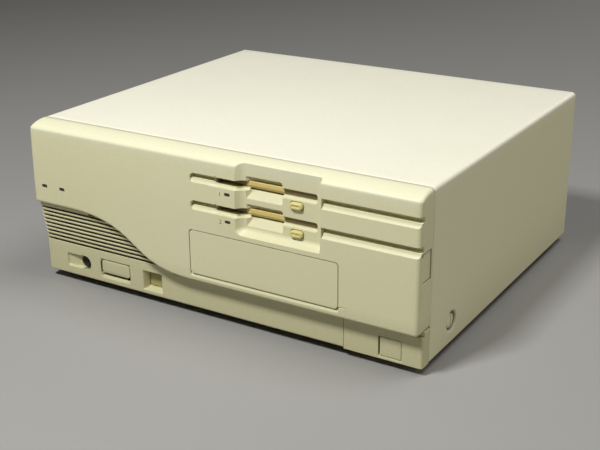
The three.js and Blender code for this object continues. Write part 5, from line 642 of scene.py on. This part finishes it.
def bezel_profile(inset):
    """y, z of the rows from LEVEL_Z up: the leaning face, two parabolas over the nose, the top; less the inset."""
    share = inset / EDGE_ROUND
    face = np.stack([FRONT_Y + face_lean(rows) + inset, rows], 1)
    face_y, top_z = FRONT_Y + FACE_LEAN + inset, TOP_Z - inset
    fold = (NOSE_FOLD[0] + NOSE_FOLD_DRAW[0] * share, NOSE_FOLD[1] - NOSE_FOLD_DRAW[1] * share)
    bend = (face_y, NOSE_LOW_Z - NOSE_LOW_DRAW * share)
    lower = quadratic((face_y, FACE_TOP_Z), bend, fold, np.linspace(0, 1, 9)[1:])
    upper = quadratic(fold, (NOSE_HIGH_Y, top_z), (NOSE_END_Y, top_z), np.linspace(0, 1, 7)[1:])
    return np.concatenate([face, lower, upper, [[SEAM_Y, top_z]]])


def bare_bezel():
    """X, Y, Z of the moulding with no hollows, as arrays of rows by columns."""
    x, turn, share = bezel_columns()
    side = np.sign(x) * np.sin(turn)
    # Rows from LEVEL_Z up: from the front's profile to the side's round the corner, then straight back to the seam
    inset = EDGE_ROUND * (1 - np.cos(turn))
    outer, inner = bezel_profile(0), bezel_profile(EDGE_ROUND)
    y, z = (outer[:, i:i + 1] + (inner - outer)[:, i:i + 1] * inset / EDGE_ROUND for i in (0, 1))
    y = y + (SEAM_Y - y) * share
    upper = np.stack([np.broadcast_to(x, y.shape), y, z])
    # Rows below: out from the swept edge along its own normal
    edge = sweep_line(x)
    slope = np.where(turn > 0, 0, np.interp(x, columns, np.gradient(sweep_line(columns), columns)))
    length = np.hypot(1, slope)
    across, up = -slope / length, 1 / length
    angle = np.linspace(0, np.pi / 2, LIP_STEPS)[:, None]
    lift = np.concatenate([np.zeros((1, 1)), LIP_ROUND * (1 - np.cos(angle))])
    depth = SEAM_Y - FRONT_Y
    reach = np.where(turn > 0, LATCH_SINK + (depth - LATCH_SINK) * np.cos(turn) ** 4, depth)
    deep = np.concatenate([reach[None, :], np.broadcast_to(LIP_ROUND * (1 - np.sin(angle)), (LIP_STEPS, len(x)))])
    plan_y = FRONT_Y + inset
    plan_y = plan_y + (SEAM_Y - plan_y) * share
    roll = np.stack([x + across * lift - side * deep, plan_y + np.cos(turn) * deep, edge + up * lift])
    start_x, start_z = x + across * LIP_ROUND, edge + up * LIP_ROUND
    step = shares[1:-1, None]
    lower = np.stack([start_x + (x - start_x) * step, np.broadcast_to(plan_y, (len(step), len(x))),
                      start_z + (LEVEL_Z - start_z) * step])
    return np.concatenate([roll, lower, upper], axis=1)


# %% Hollows of the bezel, and its mesh
def spread(mask):
    """The mask and the eight neighbours of each of its points."""
    wide = np.pad(mask, 1)
    return np.any([wide[i:i + mask.shape[0], j:j + mask.shape[1]] for i in range(3) for j in range(3)], axis=0)


def fit_to_outlines(x, z, flat, outlines):
    """Moves flat grid points on both sides of an outline onto it: each goes its distance back along the slope."""
    for outline in outlines:
        def distance(dx=0.0, dz=0.0):
            return rounded_distance(x + dx, z + dz, *outline)

        away = distance()
        inside, near = away < 0, np.abs(away) < SNAP
        outer, inner = ~inside & spread(inside) & near, inside & spread(~inside) & near
        slope_x = (distance(TINY) - distance(-TINY)) / (2 * TINY)
        slope_z = (distance(0, TINY) - distance(0, -TINY)) / (2 * TINY)
        move = flat * np.where(outer, PAIR - away, np.where(inner, -PAIR - away, 0))
        x, z = x + slope_x * move, z + slope_z * move
    return x, z


def cut_holes(x, z, flat, depth, holes):
    """Depth with each hole's wall in place of a hollow, and a mask of the places inside a hole."""
    hole = np.zeros(x.shape, bool)
    for outline, wall in holes:
        inside = flat & (rounded_distance(x, z, *outline) < 0)
        depth, hole = np.where(inside, wall, depth), hole | inside
    return depth, hole


def cell_corners(grid):
    """The four corner values of each cell of a grid, along a last axis."""
    return np.stack([grid[:-1, :-1], grid[:-1, 1:], grid[1:, 1:], grid[1:, :-1]], -1)


def add_grid_mesh(name, finish, points, keep=None, smooth_under=35):
    """A mesh from an array of 3 by rows by columns, in millimetres: one face for each cell that keep allows."""
    faces = cell_corners(np.arange(points[0].size).reshape(points.shape[1:]))
    faces = faces[keep] if keep is not None else faces.reshape(-1, 4)
    used, faces = np.unique(faces, return_inverse=True)
    mesh = bpy.data.meshes.new(name)
    mesh.from_pydata((points.reshape(3, -1).T[used] * MM).tolist(), [], faces.reshape(-1, 4).tolist())
    mesh.shade_smooth()
    mesh.set_sharp_from_angle(angle=math.radians(smooth_under))
    mesh.materials.append(finishes[finish])
    return add_object(name, mesh)


def thicken(piece, millimetres):
    wall = piece.modifiers.new("wall", "SOLIDIFY")
    wall.thickness = millimetres * MM
    wall.offset = -1
    return piece


def build_bezel():
    """The bare moulding, fitted to the outlines and moved back into the hollows; openings and latches stay open."""
    x, y, z = bare_bezel()
    front = np.abs(x[-1]) < SIDE_X - EDGE_ROUND + 0.01
    flat = np.zeros(x.shape, bool)
    flat[LIP_STEPS + 1:, :] = front
    outlines = [opening for opening, _ in through_openings]
    for high in SLOT_TOPS:
        outlines += [(GROOVE_X0, SLOT_X1 + 40, high - SLOT_HEIGHT, high, SLOT_ROUND), scoop_outline(high)]
    x, z = fit_to_outlines(x, z, flat, outlines)
    depth = np.where(flat | (np.abs(x) > RECESS_X1), bezel_depth(x, z), 0)
    depth, open_at = cut_holes(x, z, flat, depth, through_openings)
    y = np.maximum(y, np.where(depth > 0, FRONT_Y + depth, y))
    latch = (np.abs(x) > SIDE_X - 0.01) & (y > LATCH[0]) & (y < LATCH[1]) & (z > LATCH[2]) & (z < LATCH[3])
    x = np.where(latch, np.sign(x) * (SIDE_X - LATCH_SINK), x)
    keep = ~np.all(cell_corners(open_at | latch), -1)
    # The last row of the sides has no height behind the corner, so its cells are left out
    beside = ~(front[:-1] | front[1:])
    keep[-1, beside] &= np.abs(x[-1, :-1][beside]) < SIDE_X - 0.01
    return add_grid_mesh("bezel_skin", "case_plastic", np.stack([x, y, z]), keep)


bezel_skin = thicken(build_bezel(), BEZEL_SKIN)
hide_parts("front_bezel")
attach(bezel_skin, "case")
print("bezel skin", len(bezel_skin.data.polygons), "faces")

# %% [markdown]
# ## The lower front panel
# Under the swept edge lies a second moulding: an upright strip with the sockets and buttons, which leans out above
# into a grille, whose bars slant inwards and down so that one can't look in. One section, a line through all the
# bars, is carried round the left corner and along the front. Every point of the section says how deep it lies, and
# the corner's radius shrinks by that depth.

# %% Sizes of the lower panel and its section
STRIP_Y, PANEL_LOW_Z, PANEL_X1, PANEL_END_Y = -157.5, 8.0, 121.5, -147.0
PANEL_ROUND, PANEL_SKIN = 4.0, 0.35
CORNER_STEPS, SIDE_SHARES = 8, (1.0, 0.5)
CORNER_COLUMNS = CORNER_STEPS + len(SIDE_SHARES)
FOOT_ROUND, FOOT_DEEP = 1.2, 10.0
GRILLE_LEAN = 6.0
BAR_COUNT, BAR_PITCH, BAR_GAP, BAR_FIRST_Z = 9, 3.94, 2.15, 38.1
BAR_DEEP, BAR_DROP = 7.5, 3.4
SWEEP_OVERLAP = 0.8
LEDGE_X, LEDGE_LOW_Z, LEDGE_DEEP = -44.3, 33.0, 2.9
SOCKET_AT, SOCKET_RADIUS, SOCKET_WALL = (-145.0, 22.0), 6.9, 5.4
HOLLOW = (-165.6, -141.0, 15.6, 28.4, 2.2)
HOLLOW_DEPTH, HOLLOW_DEEPER, HOLLOW_RUN, HOLLOW_WALL = 1.5, 2.3, 14.0, 0.7
POWER_HOLE, POWER_ROUND, POWER_WALL = (-126.6, -92.9, 14.7, 30.8), 3.0, 4.0
POWER_CHAMFER, POWER_CHAMFER_DEEP = 2.2, 1.6
RESET_MOUTH, RESET_DEEP, RESET_DRAFT = (-78.3, -57.6, 11.6, 30.0), 6.0, 1.9
RESET_HOLE, RESET_ROUND, RESET_WALL = (-76.3, -59.5, 13.7, 27.8), 0.6, 8.0


def panel_section():
    """Rows of z and depth: the rounded foot, the upright strip, then for each gap its floor, back and ceiling."""
    foot = [(PANEL_LOW_Z, FOOT_DEEP), (PANEL_LOW_Z, FOOT_ROUND), (PANEL_LOW_Z + 0.35, 0.35),
            (PANEL_LOW_Z + FOOT_ROUND, 0.0)]
    keys = [PANEL_LOW_Z + FOOT_ROUND, LIP_Z]
    keys += pairs(LEDGE_LOW_Z, *HOLLOW[2:4], *POWER_HOLE[2:], *RESET_MOUTH[2:], *RESET_HOLE[2:],
                  POWER_HOLE[2] - POWER_CHAMFER)
    strip = [(z, 0.0) for z in lines(keys, lambda z: FINE)[1:]]
    bars = []
    for number in range(BAR_COUNT):
        low = BAR_FIRST_Z + number * BAR_PITCH
        high = low + BAR_GAP
        bars += [(low - 0.3, 0), (low, 0.3), (low - BAR_DROP, BAR_DEEP), (high - BAR_DROP, BAR_DEEP), (high, 0.15),
                 (high + 0.15, 0)]
    return np.array(foot + strip + bars + [(SWEEP_Z, 0.0)])


def panel_columns():
    """x, turn and share of the side, for each column from the back of the left side to the right end."""
    keys = [-SIDE_X + PANEL_ROUND, PANEL_X1, SWEEP_X1]
    keys += pairs(HOLLOW[0], LEDGE_X, *POWER_HOLE[:2], *RESET_MOUTH[:2], *RESET_HOLE[:2])
    fine = [(HOLLOW[0] - 1, SOCKET_AT[0] + 8), (POWER_HOLE[0], POWER_HOLE[0] + 4),
            (POWER_HOLE[1] - 4, POWER_HOLE[1])]
    x = lines(keys, lambda at: FINE if within(at, fine) else 3.0)
    side = [(-SIDE_X, np.pi / 2, share) for share in SIDE_SHARES]
    corner = [(-SIDE_X, turn, 0) for turn in np.linspace(np.pi / 2, 0, CORNER_STEPS + 1)[:-1]]
    return np.array([*side, *corner, *((at, 0, 0) for at in x)]).T


def panel_hollows(x, z):
    """Depth of the ledge, the keyboard's hollow, the power opening's lower chamfer and the reset funnel."""
    ledge = np.where((x > LEDGE_X) & (z > LEDGE_LOW_Z), LEDGE_DEEP, 0)
    inside = -rounded_distance(x, z, *HOLLOW)
    bottom = HOLLOW_DEPTH + HOLLOW_DEEPER * np.clip((x - HOLLOW[0]) / HOLLOW_RUN, 0, 1)
    hollow = np.where(x < SOCKET_AT[0], bottom * np.clip(inside / HOLLOW_WALL, 0, 1), 0)
    below = (x > POWER_HOLE[0] + 2) & (x < POWER_HOLE[1] - 2) & (z < POWER_HOLE[2] + 3)
    slope = np.clip((z - POWER_HOLE[2] + POWER_CHAMFER) / POWER_CHAMFER, 0, 1)
    chamfer = np.where(below, POWER_CHAMFER_DEEP * slope, 0)
    x0, x1, z0, z1 = RESET_MOUTH
    funnel = RESET_DEEP * np.clip(np.min([x - x0, x1 - x, z - z0, z1 - z], axis=0) / RESET_DRAFT, 0, 1)
    return np.max([ledge, hollow, chamfer, funnel], axis=0)


def build_panel():
    """The section carried round the corner, with the hollows and holes of the strip."""
    section = panel_section()
    x, turn, share = panel_columns()
    z, inset = (np.broadcast_to(section[:, i:i + 1], (len(section), len(x))) for i in (0, 1))
    face = STRIP_Y - GRILLE_LEAN * np.clip((z - LIP_Z) / (SWEEP_Z - LIP_Z), 0, 1)
    radius = np.maximum(PANEL_ROUND - inset, 0.05)
    middle_x, middle_y = -SIDE_X + inset + radius, face + inset + radius
    side_y = middle_y + (SEAM_Y - middle_y) * share
    y = np.where(share > 0, side_y, middle_y - radius * np.cos(turn))
    px = np.where(turn > 0, middle_x - radius * np.sin(turn), np.maximum(x, middle_x))
    flat = (turn == 0) & (inset == 0) & (z < LIP_Z + 0.01)
    socket = (*box_around(*SOCKET_AT, SOCKET_RADIUS, SOCKET_RADIUS), SOCKET_RADIUS)
    holes = [((*POWER_HOLE, POWER_ROUND), POWER_WALL), ((*RESET_HOLE, RESET_ROUND), RESET_WALL),
             (socket, SOCKET_WALL)]
    px, z = fit_to_outlines(px, z, flat, [*(outline for outline, _ in holes), HOLLOW])
    depth, hole = cut_holes(px, z, flat, np.where(flat, panel_hollows(px, z), 0), holes)
    y = y + depth
    # The right end turns inwards, and what lies behind the bezel's swept edge is left out
    px, z, y = (np.concatenate([layer, layer[:, -1:]], 1) for layer in (px, z, y))
    y[:, -1] = np.maximum(y[:, -1], PANEL_END_Y)
    hole = np.pad(hole, ((0, 0), (0, 1)))
    above = z > sweep_line(px) + SWEEP_OVERLAP
    above[:, :CORNER_COLUMNS] = False
    keep = ~np.all(cell_corners(hole), -1) & ~np.any(cell_corners(above), -1)
    return add_grid_mesh("lower_panel_skin", "case_plastic", np.stack([px, y, z]), keep)


lower_panel = thicken(build_panel(), PANEL_SKIN)
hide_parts("lower_front_panel")
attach(lower_panel, "case")
print("lower panel", len(lower_panel.data.polygons), "faces")

# %% [markdown]
# ## The top cover
# The cover is one steel sheet, bent down at both sides, with a hem turned in at the back. Such a sheet is a path
# carried along a straight line: the path goes up one side, across and down the other, and the line goes from the
# seam behind the bezel to the back. A dish for each screw is pressed into the sides, with a soft rim, as steel has.

# %% Cover sizes and its sheet
COVER_Y, HEM_Y, COVER_LOW_Z = -145.5, 167.5, 8.0
COVER_BEND, HEM, SHEET, FRONT_TUCK = 4.0, 8.0, 1.2, 0.35
DISH_RIM, DISH_FLOOR, DISH_DEPTH, DISH_SHOULDER = 9.4, 6.8, 3.0, 1.15
# The sheet is finer within DISH_HALF before and behind the dish, and up to DISH_TOP_Z
DISH_HALF, DISH_TOP_Z = 12.0, 38.0


def cover_path(inset):
    """x, z round the cover less the inset: up the left side, a quarter circle, the top, a quarter circle, down."""
    radius = max(COVER_BEND - inset, 0.05)
    half, top = SIDE_X - inset, TOP_Z - inset
    side = np.concatenate([np.linspace(COVER_LOW_Z, DISH_TOP_Z, 61), np.linspace(DISH_TOP_Z, top - radius, 12)[1:]])
    turn = np.linspace(0, np.pi / 2, 11)[1:]
    bend = np.stack([-half + radius * (1 - np.cos(turn)), top - radius * (1 - np.sin(turn))], 1)
    left = np.concatenate([np.stack([np.full(len(side), -half), side], 1), bend])
    across = np.linspace(left[-1, 0], -left[-1, 0], 40)[1:-1]
    middle = np.stack([across, np.full(len(across), top)], 1)
    return np.concatenate([left, middle, left[::-1] * (-1, 1)])


def dish_depth(y, z):
    """Level floor, a slope out to the rim and a soft shoulder: the distance to the middle gives the depth."""
    away = np.hypot(y - DISH_AT[0], z - DISH_AT[1])
    slope = np.clip((DISH_RIM - away) / (DISH_RIM - DISH_FLOOR), 0, 1)
    return DISH_DEPTH * slope**DISH_SHOULDER


def build_cover():
    """The path repeated at each y; at the front and the hem it draws in by a share of the hem's width."""
    path, inner = cover_path(0), cover_path(HEM)
    dish_front, dish_back, bend_y = DISH_AT[0] - DISH_HALF, DISH_AT[0] + DISH_HALF, HEM_Y - SHEET
    flat = np.concatenate([[COVER_Y, COVER_Y + 1], np.linspace(-140, dish_front, 6)[:-1],
                           np.linspace(dish_front, dish_back, 49), np.linspace(dish_back, bend_y, 24)[1:]])
    turn = np.linspace(0, np.pi / 2, 6)[1:]
    y = np.concatenate([flat, bend_y + SHEET * np.sin(turn), [HEM_Y] * 2])
    share = np.concatenate([np.zeros(len(flat)), SHEET / HEM * (1 - np.cos(turn)), [0.5, 1]])
    share[0] = FRONT_TUCK / HEM
    place = path[None] + (inner - path)[None] * share[:, None, None]
    x, z = place[..., 0], place[..., 1]
    y = np.broadcast_to(y[:, None], x.shape)
    x = x - np.sign(x) * np.where(np.abs(x) > SIDE_X - 0.5, dish_depth(y, z), 0)
    return add_grid_mesh("cover_sheet", "cover_paint", np.stack([x, y, z]), smooth_under=50)


cover_sheet = thicken(build_cover(), SHEET)
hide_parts("top_cover")
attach(cover_sheet, "case")
print("cover sheet", len(cover_sheet.data.polygons), "faces")

# %% [markdown]
# ## Screws in the dishes
# A slotted screw's head is a low dome with a straight cut. On a grid of chords the dome follows the distance from
# the middle, and the cut is a step in the distance from its own line, so it keeps crisp walls.

# %% Screw heads
SCREW_RADIUS, SCREW_SEAT_X, SCREW_FACE_X, SCREW_DOME = 6.0, 186.9, 189.3, 0.9
CUT_HALF, CUT_DEEP = 0.65, 1.1
CHORDS, CHORD_POINTS = 14, 25


def weld(piece):
    """Merges the points that meet at a seam or pole, closes what is open and turns every face outwards."""
    shape = bmesh.new()
    shape.from_mesh(piece.data)
    bmesh.ops.remove_doubles(shape, verts=shape.verts, dist=1e-6)
    bmesh.ops.dissolve_degenerate(shape, edges=shape.edges, dist=1e-7)
    bmesh.ops.holes_fill(shape, edges=[edge for edge in shape.edges if edge.is_boundary], sides=0)
    bmesh.ops.recalc_face_normals(shape, faces=shape.faces)
    shape.to_mesh(piece.data)
    shape.free()
    return piece


def screw_head(name, side):
    """Dome less the cut, on chords: height falls with the distance's fourth power, and a rim leads to the seat."""
    across = SCREW_RADIUS * np.sin(np.linspace(0, np.pi / 2, CHORDS))
    across = np.unique(np.round([*across, CUT_HALF - 0.04, CUT_HALF + 0.04], 3))
    across = np.append(-across[::-1], across[1:])
    chord = np.sqrt(np.maximum(SCREW_RADIUS**2 - across**2, 1e-4))
    share = np.sin(np.linspace(-np.pi / 2, np.pi / 2, CHORD_POINTS))
    y, z = np.broadcast_to(across[:, None], (len(across), CHORD_POINTS)), chord[:, None] * share[None]
    away = np.hypot(y, z) / SCREW_RADIUS
    height = SCREW_FACE_X - SCREW_DOME * away**4 - np.where(np.abs(y) < CUT_HALF, CUT_DEEP * (1 - 0.4 * away**6), 0)
    x = np.pad(height, 1, constant_values=SCREW_SEAT_X)
    y, z = (np.pad(layer, 1, mode="edge") for layer in (y, z))
    return weld(add_grid_mesh(name, "screw_paint", np.stack([x * side, y + DISH_AT[0], z + DISH_AT[1]])))


for name, side in (("left", -1), ("right", 1)):
    head = screw_head("screw_head_" + name, side)
    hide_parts("cover_screw_" + name)
    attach(head, "case")
print("screw heads", [round(SCREW_FACE_X * MM, 4), "from the middle"])

# %% [markdown]
# ## Buttons with a crown
# Moulded buttons are never flat: the face is crowned a few tenths, so that it catches a highlight. The crown is
# worked out on rings that shrink from the button's outline to its middle. The eject caps have ribs for the finger,
# and a slanted brow on each dust door hangs over its slot.

# %% Crowned buttons
EJECT_CAP_HALF, EJECT_CAP_ROUND, EJECT_CROWN = (5.6, 2.7), 2.68, 0.85
EJECT_CAP_FRONT, EJECT_CAP_BACK = FRONT_Y + 2.9, FRONT_Y + 6.0
RIB_REACH, RIB_FADE, RIB_PITCH, RIB_DEPTH, RIB_SWING = 4.0, 0.8, 1.9, 0.75, 0.35
BUTTON_CROWN = 0.6
BROW_SECTION = ((12.2, -0.35), (8.5, -0.35), (8.2, -0.75), (8.3, -3.9), (9.7, -6.1), (12.2, -6.2))
# Plain caps: name, button, finish, middle, half sizes, corner radius, front and back
CAPS = (("power_cap", "power_button", "case_plastic", (-109.7, 23.75), (15.6, 6.3), 3.4, -157.3, -153.2),
        ("reset_cap", "reset_button", "button_plastic", (-67.95, 20.2), (8.15, 6.2), 0.8, -151.0, -149.1))


def close_round(points):
    """The first column again after the last one, so that the grid closes on itself."""
    return np.concatenate([points, points[:, :, :1]], 2)


def crowned_button(name, finish, centre, half, radius, front_y, back_y, crown, relief=None):
    """Rings: the outline of a rounded rectangle, shrunk by a share; depth follows the share's fourth power."""
    turn = np.linspace(0, 2 * np.pi, 65)[:-1]
    corner = np.stack([np.sign(np.cos(turn)) * (half[0] - radius), np.sign(np.sin(turn)) * (half[1] - radius)])
    outline = corner + radius * np.stack([np.cos(turn), np.sin(turn)])
    share = np.append(np.sin(np.linspace(np.pi / 2, 0.04, 22)), 0)
    x, z = (centre[i] + outline[i][None] * share[:, None] for i in (0, 1))
    y = front_y + crown * np.broadcast_to(share[:, None] ** 4, x.shape)
    if relief is not None:
        y = y + relief(x - centre[0], z - centre[1])
    x, z = np.concatenate([x[:1], x]), np.concatenate([z[:1], z])
    y = np.concatenate([np.full((1, len(turn)), back_y), y])
    return weld(add_grid_mesh(name, finish, close_round(np.stack([x, y, z])), smooth_under=50))


def finger_ribs(x, z):
    """A shallow trench along the middle, e to the power -z^2 across it, with four ribs from a cosine in x."""
    window = np.clip((RIB_REACH - np.abs(x)) / RIB_FADE, 0, 1) * np.exp(-(z**2))
    return window * (RIB_DEPTH + RIB_SWING * np.cos(2 * np.pi * x / RIB_PITCH))


def door_brow(name, high):
    """A section with a slanted underside, each side cut in six, carried across the slot; its ends are drawn in."""
    corners = np.array(BROW_SECTION)
    share = np.linspace(0, 1, 7)[:-1, None]
    section = np.concatenate([a + (b - a) * share for a, b in zip(corners, np.roll(corners, -1, 0))])
    x = np.array([SLOT_X0 + 1.4, *np.linspace(SLOT_X0 + 2, SLOT_X1 - 2, 24), SLOT_X1 - 1.4])[:, None]
    inset = np.zeros_like(x)
    inset[[0, -1]] = 0.5
    y = FRONT_Y + section[None, :, 0] + inset * (section[None, :, 0] < 9)
    z = high + np.broadcast_to(section[None, :, 1], y.shape)
    points = np.stack([np.broadcast_to(x, y.shape), y, z])
    return weld(add_grid_mesh(name, "yellowed_plastic", close_round(points), smooth_under=30))


for floor_name, high in (("upper", SLOT_TOPS[0]), ("lower", SLOT_TOPS[1])):
    cap = crowned_button("eject_cap_" + floor_name, "button_plastic", (EJECT_AT[0], high + EJECT_AT[1]),
                         EJECT_CAP_HALF, EJECT_CAP_ROUND, EJECT_CAP_FRONT, EJECT_CAP_BACK, EJECT_CROWN,
                         finger_ribs)
    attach(cap, "eject_button_" + floor_name)
    brow = door_brow("door_brow_" + floor_name, high)
    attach(brow, "slot_door_" + floor_name)
for name, button, finish, *sizes in CAPS:
    cap = crowned_button(name, finish, *sizes, BUTTON_CROWN)
    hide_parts(button)
    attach(cap, button)
print("crowned buttons and brows", 6)

# %% [markdown]
# ## Pins in the ports at the back
# The solids give each port its shell with a hollow in it. A dark plate goes on the hollow's floor, with two rows of
# gilt pins, the lower row one shorter. All pins are one stack of rings, added to an array of places.

# %% Plates and pins
PORT_NOSES = ((-52.0, -12.0), (2.0, 55.0), (69.0, 108.0))
PORT_FLOOR_Y, PORT_LOW_Z, PORT_HIGH_Z = 164.0, 17.1, 29.6
PLATE_INSET, PLATE_SLANT, PLATE_LEVELS = 1.5, 2.5, (PORT_FLOOR_Y - 0.1, PORT_FLOOR_Y + 0.6)
PIN_PITCH, PIN_ROW_GAP, PIN_MARGIN, PIN_SIDES = 2.77, 2.84, 7.0, 12
# Radius of a pin at each of its rings, and how far each ring stands before the hollow's floor
PIN_RINGS = ((0.55, 0.5), (0.55, 1.9), (0.3, 2.2))


def add_stacks(name, stacks, finish):
    """Closed solids, from solids by levels by corners by X, Y, Z: walls from level to level, a lid at each end."""
    index = np.arange(stacks[..., 0].size).reshape(stacks.shape[:3])
    turned = np.roll(index, -1, 2)
    walls = np.stack([index[:, :-1], turned[:, :-1], turned[:, 1:], index[:, 1:]], -1).reshape(-1, 4)
    mesh = bpy.data.meshes.new(name)
    lids = [*index[:, 0, ::-1].tolist(), *index[:, -1].tolist()]
    mesh.from_pydata((stacks.reshape(-1, 3) * MM).tolist(), [], walls.tolist() + lids)
    mesh.materials.append(finishes[finish])
    made = weld(add_object(name, mesh))
    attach(made, "case")
    return made


def port_plates():
    """Each shell's outline less the inset, at two levels; its lower corners stand further in by the slant."""
    top, low = PORT_HIGH_Z - PLATE_INSET, PORT_LOW_Z + PLATE_INSET
    return np.array([[[(left + PLATE_INSET, y, top), (left + PLATE_INSET + PLATE_SLANT, y, low),
                       (right - PLATE_INSET - PLATE_SLANT, y, low), (right - PLATE_INSET, y, top)]
                      for y in PLATE_LEVELS] for left, right in PORT_NOSES])


def port_pins():
    """Place of each pin, plus a stack of rings: radius times cosine and sine of the turn, at its depth."""
    places = []
    for left, right in PORT_NOSES:
        for row in (0, 1):
            count = int((right - left - PIN_MARGIN) / PIN_PITCH) - row
            height = (PORT_LOW_Z + PORT_HIGH_Z) / 2 + (0.5 - row) * PIN_ROW_GAP
            middle = (left + right) / 2
            places += [(middle + (pin - (count - 1) / 2) * PIN_PITCH, 0, height) for pin in range(count)]
    turn = np.linspace(0, 2 * np.pi, PIN_SIDES + 1)[:-1]
    rings = [np.stack([radius * np.cos(turn), np.full(PIN_SIDES, PORT_FLOOR_Y + reach), radius * np.sin(turn)], -1)
             for radius, reach in PIN_RINGS]
    return np.array(places)[:, None, None] + np.array(rings)[None]


add_stacks("port_plates", port_plates(), "dark_plastic")
add_stacks("port_pins", port_pins(), "gilt_brass")
print("port pins", len(port_pins()))

# %% [markdown]
# ## The drive numbers
# The two drives are numbered beside their lights. Text is a curve in Blender, so it is turned into a mesh first,
# and then its points are written straight onto the front.

# %% Numbers
NUMBER_X, NUMBER_DROP, NUMBER_HEIGHT, INK_LIFT = 13.8, 15.1, 5.0, 0.06


def add_number(text, x, z, height):
    """Printed figure: the letter's own x and y become X and Z on the front plane, a hair before it."""
    letter = bpy.data.curves.new("number_" + text, "FONT")
    letter.body = text
    letter.size = height
    letter.align_x = "CENTER"
    source = add_object("letter", letter)
    bpy.context.view_layer.update()
    mesh = bpy.data.meshes.new_from_object(source.evaluated_get(bpy.context.evaluated_depsgraph_get()))
    bpy.data.objects.remove(source)
    across, up, _ = np.array([vertex.co for vertex in mesh.vertices], float).T
    placed = np.stack([x + across, FRONT_Y + face_lean(z + up) - INK_LIFT, z + up], 1) * MM
    mesh.vertices.foreach_set("co", placed.ravel())
    mesh.update()
    return add_object("number_" + text, mesh)


satin_skin("number_ink", (0.09, 0.075, 0.045), (0.11, 0.09, 0.055), PLASTIC_GRAIN, 0.0, 0.5)
for text, high in (("1", SLOT_TOPS[0]), ("2", SLOT_TOPS[1])):
    number = add_number(text, NUMBER_X, high - NUMBER_DROP, NUMBER_HEIGHT)
    number.data.materials.append(finishes["number_ink"])
    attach(number, "case")
print("numbers", 2)
